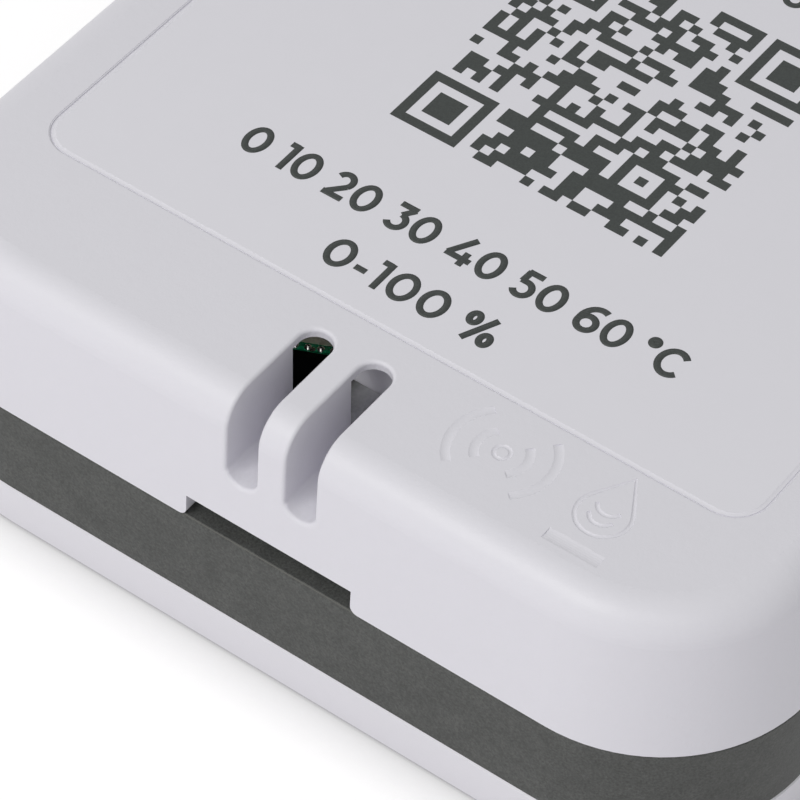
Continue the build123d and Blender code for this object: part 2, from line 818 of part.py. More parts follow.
# Crystal in its can
with BuildPart() as crystal:
    with BuildSketch(Plane.XY.offset(board_top)):
        with Locations((crystal_x, crystal_y)):
            RectangleRounded(crystal_width, crystal_length, crystal_corner)
    extrude(amount=crystal_height)
    chamfer(crystal.faces().sort_by(Axis.Z)[-1].edges(), chip_edge_chamfer)
export_piece(crystal, "crystal")

# Reservoir capacitor: a rolled can on a square foot
can_bottom = board_top + reservoir_base_height
can_top = board_top + reservoir_height
groove_z = can_bottom + reservoir_groove_height
with BuildPart() as reservoir_capacitor:
    with BuildSketch(Plane.XY.offset(board_top)):
        with Locations((reservoir_x, reservoir_y)):
            Rectangle(reservoir_base_side, reservoir_base_side)
    extrude(amount=reservoir_base_height)
    with BuildSketch(Plane.XY.offset(can_bottom)):
        with Locations((reservoir_x, reservoir_y)):
            Circle(reservoir_radius)
    extrude(amount=can_top - can_bottom)
    chamfer(reservoir_capacitor.faces().sort_by(Axis.Z)[-1].edges(), reservoir_edge)
    with BuildSketch(upright_plane(reservoir_x, reservoir_y, groove_z)):
        with BuildLine():
            Polyline(
                (reservoir_radius, -reservoir_groove_depth),
                (reservoir_radius - reservoir_groove_depth, 0),
                (reservoir_radius, reservoir_groove_depth),
                close=True,
            )
        make_face()
    revolve(axis=Axis((reservoir_x, reservoir_y, 0), (0, 0, 1)), mode=Mode.SUBTRACT)
export_piece(reservoir_capacitor, "reservoir_capacitor")

# Small chip capacitors in two columns and resistors in one row
with BuildPart() as chip_capacitors:
    with BuildSketch(Plane.XY.offset(board_top)):
        with Locations((capacitor_x, capacitor_y)):
            with GridLocations(
                capacitor_pitch_x, capacitor_pitch_y, capacitor_column_count, capacitor_row_count
            ):
                Rectangle(small_part_length, small_part_width)
    extrude(amount=capacitor_height)
export_piece(chip_capacitors, "chip_capacitors")
with BuildPart() as chip_resistors:
    with BuildSketch(Plane.XY.offset(board_top)):
        with Locations((resistor_x, resistor_y)):
            with GridLocations(resistor_pitch, 0, resistor_count, 1):
                Rectangle(small_part_width, small_part_length)
    extrude(amount=resistor_height)
export_piece(chip_resistors, "chip_resistors")

# Programming header: plastic strip with square pins
with BuildPart() as programming_header:
    with BuildSketch(Plane.XY.offset(board_top)):
        with Locations((program_x, program_y)):
            Rectangle(
                (program_column_count - 1) * program_pitch + 2 * program_margin,
                (program_row_count - 1) * program_pitch + 2 * program_margin,
            )
    extrude(amount=program_base_height)
    with BuildSketch(Plane.XY.offset(board_top + program_base_height)):
        with Locations((program_x, program_y)):
            with GridLocations(program_pitch, program_pitch, program_column_count, program_row_count):
                Rectangle(program_pin_side, program_pin_side)
    extrude(amount=program_pin_height)
export_piece(programming_header, "programming_header")

# Battery holder: open tray with two bays and a window under each cell
with BuildPart() as battery_holder:
    with BuildSketch(Plane.XY.offset(board_top)):
        with Locations((0, cell_pair_y)):
            RectangleRounded(holder_length, holder_width, holder_corner)
    extrude(amount=holder_height)
    with BuildSketch(Plane.XY.offset(holder_floor_top)):
        with Locations(*bays_at):
            Rectangle(bay_length, bay_width)
    extrude(amount=holder_height, mode=Mode.SUBTRACT)
    with BuildSketch(Plane.XY.offset(board_top)):
        with Locations(*bays_at):
            SlotOverall(holder_window_length, holder_window_width)
        with Locations(*tails_at):
            Rectangle(contact_thickness + 2 * tail_fit, tail_width + 2 * tail_fit)
    extrude(amount=holder_floor, mode=Mode.SUBTRACT)
export_piece(battery_holder, "battery_holder")

# Two round cells, laid in opposite directions
for direction, (side, row_y) in zip((1, -1), bay_rows_y.items()):
    with BuildPart() as cell:
        with BuildSketch(Plane.YZ.offset(-direction * cell_length / 2)):
            with Locations((row_y, cell_z)):
                Circle(cell_radius)
        extrude(amount=direction * (cell_length - cell_nub_length))
        chamfer(cell.edges().filter_by(GeomType.CIRCLE), cell_edge)
        with BuildSketch(Plane.YZ.offset(direction * (cell_length / 2 - cell_nub_length))):
            with Locations((row_y, cell_z)):
                Circle(cell_nub_radius)
        extrude(amount=direction * cell_nub_length)
    export_piece(cell, f"cell_{side}")

# Leaf contacts: flat strips against the end walls with a bowed leaf each
contact_tip_x = cell_length / 2 + contact_cell_gap
contact_top = holder_floor_top + contact_height


def contact_profile(side):
    """Side view of one leaf contact, at the left or the right end of the holder."""
    strip_x = side * contact_middle_x
    with Locations((strip_x, holder_floor_top)):
        Rectangle(contact_thickness, contact_height, align=(Align.CENTER, Align.MIN))
    with BuildLine(mode=Mode.PRIVATE):
        leaf = ThreePointArc(
            (strip_x, cell_z - contact_leaf_height / 2),
            (side * (contact_tip_x + contact_thickness / 2), cell_z),
            (strip_x, cell_z + contact_leaf_height / 2),
        )
    SlotArc(leaf, contact_thickness)


for side, row_y in bay_rows_y.items():
    with BuildPart() as terminal:
        with BuildSketch(Plane.XZ.offset(-row_y - contact_width / 2)):
            contact_profile(-1)
        extrude(amount=contact_width)
        with BuildSketch(Plane.XY.offset(holder_floor_top)):
            with Locations((-contact_middle_x, row_y)):
                Rectangle(contact_thickness, tail_width)
        extrude(amount=-holder_floor - board_thickness - tail_length)
    export_piece(terminal, f"terminal_{side}")
link_low_z = board_top + holder_height + link_gap
with BuildPart() as series_contact:
    for row_y in bay_rows_y.values():
        with BuildSketch(Plane.XZ.offset(-row_y - contact_width / 2)):
            contact_profile(1)
        extrude(amount=contact_width)
    with BuildSketch(Plane.XY.offset(link_low_z)):
        with Locations((contact_middle_x, cell_pair_y)):
            Rectangle(contact_thickness, cell_pitch)
    extrude(amount=contact_top - link_low_z)
export_piece(series_contact, "series_contact")
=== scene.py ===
import math

import bpy
from mathutils import Matrix, Vector, kdtree


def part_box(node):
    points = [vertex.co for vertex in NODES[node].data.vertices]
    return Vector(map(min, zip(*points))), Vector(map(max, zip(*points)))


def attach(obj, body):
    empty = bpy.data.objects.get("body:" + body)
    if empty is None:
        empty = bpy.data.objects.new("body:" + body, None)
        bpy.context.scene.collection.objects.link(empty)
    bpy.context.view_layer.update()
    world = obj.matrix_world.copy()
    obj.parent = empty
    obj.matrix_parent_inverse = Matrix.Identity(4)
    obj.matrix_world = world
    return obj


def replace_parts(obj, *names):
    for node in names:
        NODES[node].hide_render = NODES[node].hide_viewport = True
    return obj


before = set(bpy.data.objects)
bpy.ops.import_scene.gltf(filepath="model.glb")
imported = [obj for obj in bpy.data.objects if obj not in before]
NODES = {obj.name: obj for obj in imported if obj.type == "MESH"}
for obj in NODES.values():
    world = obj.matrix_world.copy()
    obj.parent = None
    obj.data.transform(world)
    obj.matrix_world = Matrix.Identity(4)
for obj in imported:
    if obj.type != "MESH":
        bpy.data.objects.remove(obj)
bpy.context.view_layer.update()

bl_info = {
    "name": "Wireless climate sensor",
    "version": (1, 0, 0),
    "blender": (4, 5, 0),
    "location": "View3D > Sidebar > Climate sensor",
    "description": "Finishes, print, engraved marks and studio of a wireless climate sensor",
    "category": "Object",
}

MM = 0.001
BODY = "root"
COVER_LOW, COVER_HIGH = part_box("top_cover")
FILM_LOW, FILM_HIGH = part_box("label_film")
TRAY_LOW, TRAY_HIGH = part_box("base_tray")
PLATE_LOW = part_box("back_plate")[0]
MIDDLE = (COVER_LOW + COVER_HIGH) / 2


def length(name, millimetres, description, low=0.0):
    """Property for a length, with its default in millimetres."""
    return bpy.props.FloatProperty(
        name=name, description=description, default=millimetres * MM, min=low * MM,
        subtype="DISTANCE", unit="LENGTH", precision=5,
    )


def place(name, millimetres, description):
    """Property for a place in the plane of the label, with its default in millimetres."""
    return bpy.props.FloatVectorProperty(
        name=name, description=description, size=2, default=[value * MM for value in millimetres],
        subtype="XYZ", unit="LENGTH", precision=5,
    )


def tone(name, rgb, description):
    """Property for a colour, with its default as it looks on a screen, from 0 to 255."""
    return bpy.props.FloatVectorProperty(
        name=name, description=description, size=3, default=[linear(level / 255) for level in rgb],
        min=0.0, max=1.0, subtype="COLOR",
    )


def share(name, value, description):
    """Property for a share between nought and one."""
    return bpy.props.FloatProperty(
        name=name, description=description, default=value, min=0.0, max=1.0, subtype="FACTOR",
    )


def strength(name, value, description):
    """Property for a plain number from nought up."""
    return bpy.props.FloatProperty(name=name, description=description, default=value, min=0.0)


def number(name, value, description, low=0):
    """Property for a whole number."""
    return bpy.props.IntProperty(name=name, description=description, default=value, min=low)


def angle(name, degrees, description):
    """Property for an angle, with its default in degrees."""
    return bpy.props.FloatProperty(
        name=name, description=description, default=math.radians(degrees),
        subtype="ANGLE", unit="ROTATION",
    )


def linear(level):
    """Linear level of a screen level between nought and one."""
    return level / 12.92 if level <= 0.04045 else ((level + 0.055) / 1.055) ** 2.4


class HousingFinish(bpy.types.PropertyGroup):
    """Moulded plastic of the cover, the tray and the wall plate."""

    shell_tone: tone("Shell", (217, 215, 224), "Colour of the cover")
    # Lighter copy of the cover's colour: painted light, as the plate under the band's overhang gets
    # less light than the front
    plate_lit_tone: tone("Plate", (220, 218, 226), "Colour of the wall plate")
    band_tone: tone("Band", (71, 72, 71), "Colour of the tray")
    # Pale grey of the step behind the right vent: painted light, for light falling in through the
    # vent
    pedestal_lit_tone: tone("Pedestal", (186, 186, 192), "Colour of the step behind the right vent")
    # Lighter line along the tray's top front edge, seen in the notch: a painted highlight
    rim_highlight_tone: tone("Rim", (88, 87, 84), "Colour of the tray's worn front edge")
    grain_size: length("Grain size", 0.2, "Size of the grains of the spark-eroded surface")
    grain_depth: length("Grain depth", 0.012, "Height of the grains of the cover")
    band_grain_depth: length("Band grain depth", 0.01, "Height of the grains of the tray")


class SlotEnds(bpy.types.PropertyGroup):
    """Round lower ends of the two vent slots."""

    middle: length("Middle", 0.2, "Place between the two slots, to the right of the middle", -40.0)
    pitch: length("Pitch", 5.36, "Distance from slot to slot")
    half_width: length("Half width", 1.38, "Half the width of the round end")
    drop: length("Drop", 1.3, "Height of the round lower end")
    level: length("Level", 7.65, "From the cover's lower edge to where the round end begins")
    edge: length("Edge", 0.3, "Radius of the soft edge of the slots")
    reach: length("Reach", 8.6, "Depth of the slots behind the front face")
    draft: angle("Draft", 3.0, "Lean of the front face")


class EngravedMarks(bpy.types.PropertyGroup):
    """Marks sunk in the cover's front margin, and the edge of the label's pocket."""

    depth: length("Depth", 0.08, "Depth of the marks below the top face")
    wave_stroke: length("Wave stroke", 0.75, "Width of the arcs of the wave mark")
    wave_centre: place("Wave centre", (14.6, -30.3), "Middle of the dot of the wave mark")
    wave_pitch: length("Wave pitch", 2.05, "Distance from one arc to the next")
    wave_spread: angle("Wave spread", 96.0, "How far round each arc goes")
    drop_stroke: length("Drop stroke", 0.36, "Width of the lines of the drop mark")
    drop_centre: place("Drop centre", (23.7, -30.7), "Middle of the round end of the drop")
    drop_radius: length("Drop radius", 2.1, "Radius of the round end of the drop")
    drop_height: length("Drop height", 4.1, "From the middle of the round end to the tip")
    bar_length: length("Bar length", 4.7, "Length of the bar below the drop")
    bar_width: length("Bar width", 1.15, "Width of the bar below the drop")
    bar_drop: length("Bar distance", 3.8, "From the middle of the round end to the bar")
    pocket_gap: length("Pocket gap", 0.08, "Gap between the film and the edge of its pocket")
    pocket_edge: length("Pocket edge", 0.2, "Width of the groove that softens the pocket's edge")
    pocket_bead: length("Pocket bead", 0.17, "How far below the top face the gap is filled")


class LabelPrint(bpy.types.PropertyGroup):
    """The film and the dark print on it."""

    film_tone: tone("Film", (219, 217, 226), "Colour of the film")
    film_corner: length("Film corner", 2.92, "Radius of the corners of the film")
    edge_width: length("Edge width", 0.38, "Width of the strip pressed down at the film's edge")
    edge_drop: length("Edge drop", 0.08, "How far the film is pressed down at its edge")
    edge_trim: length("Edge trim", 0.06, "How far the film stays inside its nominal edge")
    ink_tone: tone("Ink", (52, 56, 55), "Colour of the ink")
    ink_height: length("Ink height", 0.012, "How far the ink stands above the film")
    ink_root: length("Ink root", 0.004, "How far the ink reaches into the film")
    module: length("Module", 0.869, "Side of one square of the pattern")
    module_count: number("Modules", 29, "Squares along one side of the pattern", 21)
    pattern_fill: share("Fill", 0.5, "Share of the squares that are printed")
    pattern_seed: number("Seed", 11, "Draw of the printed squares")
    pattern_centre: place("Pattern centre", (0.15, 5.31), "Middle of the square pattern")
    scale_corner: place("Scale corner", (-19.8, -17.2), "Lower left corner of the first line")
    scale_width: length("Scale width", 40.1, "Width of the first line")
    range_corner: place("Range corner", (-7.7, -22.95), "Lower left corner of the second line")
    range_width: length("Range width", 15.5, "Width of the second line")
    upper_corner: place("Upper corner", (-15.5, 21.6), "Lower left corner of the line above")
    upper_width: length("Upper width", 31.0, "Width of the line above the pattern")
    figure_height: length("Figure height", 3.0, "Height of the figures")
    figure_stroke: length("Figure stroke", 0.56, "Width of the lines of the figures")


class InsideFinish(bpy.types.PropertyGroup):
    """Boards, chips, cells and contacts."""

    mask_tone: tone("Solder mask", (12, 92, 66), "Colour of the boards")
    # Lighter green than the main boards: painted light, for the light that reaches this board
    # through the vent
    sensor_mask_lit_tone: tone("Sensor mask", (30, 160, 112), "Colour of the sensor's small board")
    black_tone: tone("Black plastic", (34, 33, 38), "Colour of sockets and chips")
    cap_tone: tone("Sensor cap", (246, 240, 220), "Colour of the sensor's membrane and body")
    sleeve_tone: tone("Cell sleeve", (44, 84, 120), "Colour of the sleeves of the cells")
    ceramic_tone: tone("Ceramic", (186, 158, 118), "Colour of the chip capacitors")


class PhotoStudio(bpy.types.PropertyGroup):
    """Camera, floor and lamps."""

    azimuth: angle("Azimuth", 35.44, "Turn of the camera round the sensor")
    elevation: angle("Elevation", 47.99, "Height of the camera above the floor, as an angle")
    roll: angle("Roll", 1.354, "Turn of the camera about its line of sight")
    distance: length("Distance", 308.45, "From the camera to the top face")
    aim: place("Aim", (5.79, -30.65), "Place on the top face in the middle of the picture")
    focal_length: bpy.props.FloatProperty(
        name="Focal length", description="Focal length of the lens, in millimetres",
        default=192.22, min=1.0, unit="CAMERA")
    key_level: strength("Key level", 0.44, "Light of the key lamp on a face turned to it")
    side_level: strength("Side level", 0.07, "Light of the side lamp on a face turned to it")
    fill_level: strength("Fill level", 0.06, "Light of the lamp above the camera on such a face")
    room_level: strength("Room level", 0.475, "Light that comes from all round")
    key_tone: tone("Key colour", (254, 254, 250), "Colour of the lamps")
    room_tone: tone("Room colour", (253, 255, 251), "Colour of the light from all round")
    floor_tone: tone("Floor", (247, 245, 249), "Colour of the floor")
    floor_gap: length("Floor gap", 0.02, "Hair's breadth between the wall plate and the floor")
    floor_veil: share("Floor veil", 0.38, "Share of plain white in the floor as the camera sees it")
    veil_level: strength("Veil level", 1.4, "Light of the plain white in the floor")
    # Reach and darkness of the contact shadow painted into the floor's colour
    contact_shadow_reach: length("Contact reach", 4.4, "Width of the dark seam where the plate stands")
    contact_shadow_depth: share("Contact depth", 0.55, "Darkness of the seam where the plate stands")


GROUPS = {
    "climate_housing": HousingFinish,
    "climate_slots": SlotEnds,
    "climate_marks": EngravedMarks,
    "climate_print": LabelPrint,
    "climate_inside": InsideFinish,
    "climate_studio": PhotoStudio,
}


def direct(operation):
    """Method that adds the Math node of an operation, with its own value first."""
    return lambda self, *others: self.math(operation, self, *others)


def reflected(operation):
    """Method that adds the Math node of an operation, with its own value second."""
    return lambda self, other: self.math(operation, other, self)


class Value:
    """A socket in a node tree that can be used in sums, products and comparisons."""

    def __init__(self, tree, socket):
        self.tree = tree
        self.socket = socket

    def output(self, key):
        """Another output of the same node."""
        return Value(self.tree, self.socket.node.outputs[key])

    def math(self, operation, *values):
        """Result of a Math node."""
        return self.tree.add("ShaderNodeMath", {"operation": operation}, dict(enumerate(values)))

    __add__ = direct("ADD")
    __radd__ = reflected("ADD")
    __sub__ = direct("SUBTRACT")
    __rsub__ = reflected("SUBTRACT")
    __mul__ = direct("MULTIPLY")
    __rmul__ = reflected("MULTIPLY")
    __truediv__ = direct("DIVIDE")
    __rtruediv__ = reflected("DIVIDE")
    __gt__ = direct("GREATER_THAN")
    __lt__ = direct("LESS_THAN")
    __abs__ = direct("ABSOLUTE")
    smaller = direct("MINIMUM")
    larger = direct("MAXIMUM")
    floor = direct("FLOOR")
    fraction = direct("FRACT")
    sine = direct("SINE")
    root = direct("SQRT")


class Tree:
    """Adds nodes to a shader tree or to a geometry tree."""

    def __init__(self, node_tree):
        self.node_tree = node_tree

    def add(self, kind, settings=None, sockets=None, output=0):
        """New node: its settings first, then the values or links of its sockets."""
        node = self.node_tree.nodes.new(kind)
        for key, value in (settings or {}).items():
            setattr(node, key, value)
        for key, value in (sockets or {}).items():
            for one in value if isinstance(value, list) else [value]:
                self.feed(node.inputs[key], one)
        if not node.outputs:
            return None
        return Value(self, node.outputs[output])

    def feed(self, socket, value):
        """Link a value to a socket, or set the socket to a plain number, colour or vector."""
        if isinstance(value, Value):
            self.node_tree.links.new(value.socket, socket)
        else:
            socket.default_value = value

    def noise(self, point, size, detail=2.0, roughness=0.5):
        """Cloudy pattern about one half, with clouds of a size in the units of the point."""
        sockets = {"Vector": point, "Scale": 1 / size, "Detail": detail, "Roughness": roughness}
        return self.add("ShaderNodeTexNoise", None, sockets)

    def blend(self, factor, first, second, mode="MIX"):
        """Colour between two colours, which are sockets 6 and 7 and output 2 of the node."""
        settings = {"data_type": "RGBA", "blend_type": mode}
        return self.add("ShaderNodeMix", settings, {0: factor, 6: first, 7: second}, 2)

    def dimmed(self, colour, level):
        """Colour times a level."""
        return self.blend(1.0, colour, self.grey(level), "MULTIPLY")

    def grey(self, level):
        """Grey colour of a level."""
        return self.add("ShaderNodeCombineColor", None, {0: level, 1: level, 2: level})

    def vector(self, x=0.0, y=0.0, z=0.0):
        """Vector of three parts."""
        return self.add("ShaderNodeCombineXYZ", None, {0: x, 1: y, 2: z})

    def moved(self, point, offset, turn=0.0, scale=(1, 1, 1)):
        """Point shifted so that the offset is nought, then turned about the vertical."""
        shifted = self.add("ShaderNodeVectorMath", {"operation": "SUBTRACT"}, {0: point, 1: offset})
        turned = {"Vector": shifted, "Rotation": (0, 0, turn), "Scale": scale}
        return self.add("ShaderNodeMapping", None, turned)

    def parts(self, point):
        """The three parts of a point."""
        split = self.add("ShaderNodeSeparateXYZ", None, {0: point})
        return split, split.output(1), split.output(2)


class Finish:
    """A material with one shader, and its points in millimetres."""

    def __init__(self, name, roughness, metallic=0.0, coat=0.0, specular=0.5):
        self.material = bpy.data.materials.new(name)
        self.material.use_nodes = True
        self.tree = Tree(self.material.node_tree)
        self.shader = self.material.node_tree.nodes["Principled BSDF"]
        self.shader.inputs["Roughness"].default_value = roughness
        self.shader.inputs["Metallic"].default_value = metallic
        self.shader.inputs["Coat Weight"].default_value = coat
        self.shader.inputs["Specular IOR Level"].default_value = specular
        here = self.tree.add("ShaderNodeTexCoord", None, None, "Object")
        sockets = {"Vector": here, "Scale": (1 / MM,) * 3}
        self.point = self.tree.add("ShaderNodeMapping", None, sockets)

    def set(self, name, value):
        """Feed one socket of the shader."""
        self.tree.feed(self.shader.inputs[name], value)

    def colour(self):
        """Colour that the shader has so far."""
        return Value(self.tree, self.shader.inputs["Base Color"].links[0].from_socket)

    def parts(self):
        """The three parts of a point, in millimetres."""
        return self.tree.parts(self.point)

    def shade(self, colour, amount, size, detail=3.0):
        """Colour that gets a little lighter and darker in clouds of a size in millimetres."""
        clouds = self.tree.noise(self.point, size, detail)
        return self.tree.dimmed(colour, 1 + (clouds - 0.5) * (2 * amount))

    def skin(self, size):
        """Relief layer of the fine skin that small parts have."""
        return self.tree.noise(self.point, size), 0.004 * MM

    def bump(self, *layers):
        """Relief of layers, each a height between nought and one with its depth in metres."""
        normal = None
        for height, depth in layers:
            sockets = {"Height": height, "Distance": depth, "Strength": 1.0}
            if normal is not None:
                sockets["Normal"] = normal
            normal = self.tree.add("ShaderNodeBump", None, sockets)
        self.set("Normal", normal)

    def box(self, centre, size):
        """Mask that is one inside an upright box, given in millimetres."""
        x, y, z = self.tree.parts(self.tree.moved(self.point, centre))
        inside_x = abs(x) < size[0] / 2
        inside_y = abs(y) < size[1] / 2
        return inside_x * inside_y * (abs(z) < size[2] / 2)


def rgba(colour):
    """Colour of a property as the four numbers that a socket takes."""
    return (*colour, 1.0)


def box_in_mm(name):
    """Low and high corner of a CAD node's box, in millimetres."""
    return [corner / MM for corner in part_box(name)]


def dress(finish, *names):
    """Give CAD nodes their finish."""
    for name in names:
        paint(NODES[name].data, finish)


def paint(mesh, finish):
    """Give a mesh one finish in place of all it has."""
    mesh.materials.clear()
    mesh.materials.append(finish.material)


def put_in_scene(name, data):
    """New object in the scene, with its place in its data."""
    thing = bpy.data.objects.new(name, data)
    bpy.context.scene.collection.objects.link(thing)
    return thing


def link_piece(name, mesh):
    """Put a finished mesh in the scene as a piece that rides on the body."""
    piece = put_in_scene(name, mesh)
    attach(piece, BODY)
    return piece


def plain_mesh(helper):
    """Mesh that a helper's modifiers make, after which the helper is removed."""
    bpy.context.view_layer.update()
    graph = bpy.context.evaluated_depsgraph_get()
    mesh = bpy.data.meshes.new_from_object(helper.evaluated_get(graph))
    bpy.data.objects.remove(helper)
    return mesh


# Kind of input that takes each kind of value
SOCKET_KINDS = {
    float: "NodeSocketFloat",
    int: "NodeSocketInt",
    tuple: "NodeSocketVector",
    bpy.types.Material: "NodeSocketMaterial",
}


def new_tree(name, values):
    """Geometry tree with one named input for each value."""
    node_tree = bpy.data.node_groups.new(name, "GeometryNodeTree")
    interface = node_tree.interface
    for way in ("OUTPUT", "INPUT"):
        interface.new_socket("Geometry", in_out=way, socket_type="NodeSocketGeometry")
    for key, value in values.items():
        interface.new_socket(key, in_out="INPUT", socket_type=SOCKET_KINDS[type(value)])
    tree = Tree(node_tree)
    return tree, tree.add("NodeGroupInput")


def end_tree(tree, geometry, material):
    """Realise what the tree made, give it its material and hand it out."""
    real = tree.add("GeometryNodeRealizeInstances", None, {"Geometry": geometry})
    sockets = {"Geometry": real, "Material": material}
    painted = tree.add("GeometryNodeSetMaterial", None, sockets)
    tree.add("NodeGroupOutput", None, {0: painted})


def run_tree(tree, values, carrier):
    """Plain mesh that a geometry tree makes of an object, which is then removed."""
    modifier = carrier.modifiers.new("Nodes", "NODES")
    modifier.node_group = tree.node_tree
    items = {item.name: item.identifier for item in tree.node_tree.interface.items_tree
             if item.in_out == "INPUT"}
    for key, value in values.items():
        modifier[items[key]] = value
    return plain_mesh(carrier)


def moulded_plastic(name, colour, roughness, grain_size, grain_depth, mottle, speckle, specular):
    """Moulded plastic with clouds in its colour and the grain of a spark-eroded mould."""
    cloud_size = 1.6
    coarse_size = 3.2
    coarse_depth = 1.4
    gloss_change = 0.2
    finish = Finish(name, roughness, specular=specular)
    tree = finish.tree
    size = grain_size / MM
    grain = tree.noise(finish.point, size, 2.0, 0.7)
    coarse = tree.noise(finish.point, coarse_size * size, 2.0)
    clouds = finish.shade(colour, mottle, cloud_size, 4.0)
    finish.set("Base Color", tree.dimmed(clouds, 1 + (grain - 0.5) * (2 * speckle)))
    finish.set("Roughness", roughness + (grain - 0.5) * gloss_change)
    finish.bump((coarse, coarse_depth * grain_depth), (grain, grain_depth))
    return finish


def shell_plastic(name, colour):
    """Pale satin plastic of the cover and the wall plate."""
    look = bpy.context.scene.climate_housing
    return moulded_plastic(
        name, rgba(colour), roughness=0.38, grain_size=look.grain_size,
        grain_depth=look.grain_depth, mottle=0.008, speckle=0.004, specular=0.26,
    )


class CLIMATE_OT_wall_plate(bpy.types.Operator):
    """Finish the wall plate in a lighter copy of the cover's plastic (painted light), with painted
    contact shadow along its foot
    """

    bl_idname = "climate.wall_plate"
    bl_label = "Wall plate"

    def execute(self, context):
        # Darker strip along the foot of the plate: painted contact shadow where the plate meets the
        # floor
        foot_height = 0.52
        foot_shade = 0.66
        colour = context.scene.climate_housing.plate_lit_tone
        plate = shell_plastic("plate_plastic", colour)
        _, _, height = plate.parts()
        foot = height < PLATE_LOW.z / MM + foot_height
        painted_edge_tone = rgba([foot_shade * part for part in colour])
        plate.set("Base Color", plate.tree.blend(foot, plate.colour(), painted_edge_tone))
        dress(plate, "back_plate")
        return {"FINISHED"}


class CLIMATE_OT_base_tray(bpy.types.Operator):
    """Finish the tray, which shows as a dark band, with painted light on the step behind the right
    vent and a painted highlight along its top front edge
    """

    bl_idname = "climate.base_tray"
    bl_label = "Base tray"

    def execute(self, context):
        # The step is painted from dark on its left to pale on its right: painted light falling
        # through the vent
        step_middle, step_size = (1.9, -28.45, 20.0), (8.6, 3.8, 8.0)
        rim_middle, rim_size = (0.0, -39.3, 13.8), (90.0, 0.3, 0.2)
        ramp_start, ramp_length = -1.3, 2.2
        look = context.scene.climate_housing
        dark, pale = rgba(look.band_tone), rgba(look.pedestal_lit_tone)
        band = moulded_plastic(
            "band_plastic", dark, roughness=0.55, grain_size=look.grain_size,
            grain_depth=look.band_grain_depth, mottle=0.3, speckle=0.9, specular=0.3,
        )
        across, _, _ = band.parts()
        painted_light_ramp = ((across - ramp_start) / ramp_length).larger(0.0).smaller(1.0)
        painted_light_step_colour = band.shade(band.tree.blend(painted_light_ramp, dark, pale), 0.3, 0.3, 4.0)
        # Thin strip along the top front edge in a lighter grey: painted highlight
        rim = band.box(rim_middle, rim_size)
        painted_edge_tone = band.tree.blend(rim, band.colour(), rgba(look.rim_highlight_tone))
        step = band.box(step_middle, step_size)
        band.set("Base Color", band.tree.blend(step, painted_edge_tone, painted_light_step_colour))
        dress(band, "base_tray")
        return {"FINISHED"}


def arc(centre, radii, start, end):
    """Stroke along an arc, from one angle to another in degrees, closed if it goes all round."""
    least_steps = 8
    step_angle = 11.25
    closed = abs(end - start) >= 360
    steps = max(least_steps, round(abs(end - start) / step_angle))
    turns = [math.radians(start + (end - start) * step / steps) for step in range(steps + 1)]
    points = [(centre[0] + radii[0] * math.cos(turn), centre[1] + radii[1] * math.sin(turn))
              for turn in turns]
    return (points[:-1] if closed else points), closed


def line(*points):
    """Stroke along straight lines."""
    return list(points), False


def wave_strokes(marks):
    """Centre lines of the wave mark: two pairs of arcs."""
    half_spread = math.degrees(marks.wave_spread) / 2
    return [arc(marks.wave_centre, (step * marks.wave_pitch,) * 2,
                middle - half_spread, middle + half_spread)
            for step in (1, 2) for middle in (0, 180)]


def drop_strokes(marks):
    """Centre lines of the thin marks: the dot of the waves, and a drop with two ripples in it."""
    x, y = marks.drop_centre
    dot_share = 0.3
    dot_radii = (dot_share * marks.wave_pitch,) * 2
    radii = (marks.drop_radius,) * 2
    ripple = marks.drop_radius / 2
    ripple_start, ripple_end = 200, 340
    touch = math.degrees(math.acos(marks.drop_radius / marks.drop_height))
    outline, _ = arc((x, y), radii, 90 + touch, 450 - touch)
    return [
        arc(marks.wave_centre, dot_radii, 0, 360),
        ([(x, y + marks.drop_height), *outline], True),
        arc((x, y), (ripple, ripple), ripple_start, ripple_end),
        arc((x, y + ripple), (ripple, ripple), ripple_start, ripple_end),
    ]


def bar_strokes(marks):
    """Centre line of the bar below the drop."""
    x, y = marks.drop_centre
    bar_y = y - marks.bar_drop
    return [line((x - marks.bar_length / 2, bar_y), (x + marks.bar_length / 2, bar_y))]


def film_outline(out, film_corner):
    """Line round the film, as far outside its edge as asked."""
    radius = film_corner + out
    low = FILM_LOW.xy - Vector((out, out))
    high = FILM_HIGH.xy + Vector((out, out))
    corners = [(high.x - radius, high.y - radius, 0), (low.x + radius, high.y - radius, 90),
               (low.x + radius, low.y + radius, 180), (high.x - radius, low.y + radius, 270)]
    points = []
    for x, y, start in corners:
        points += arc((x, y), (radius, radius), start, start + 90)[0]
    return [(points, True)]


def stroke_carrier(strokes):
    """Curve object with one spline for each stroke."""
    curve = bpy.data.curves.new("strokes", "CURVE")
    curve.dimensions = "3D"
    for points, closed in strokes:
        spline = curve.splines.new("POLY")
        spline.points.add(len(points) - 1)
        for point, (x, y) in zip(spline.points, points):
            point.co = (x, y, 0.0, 1.0)
        spline.use_cyclic_u = closed
    return put_in_scene("strokes", curve)


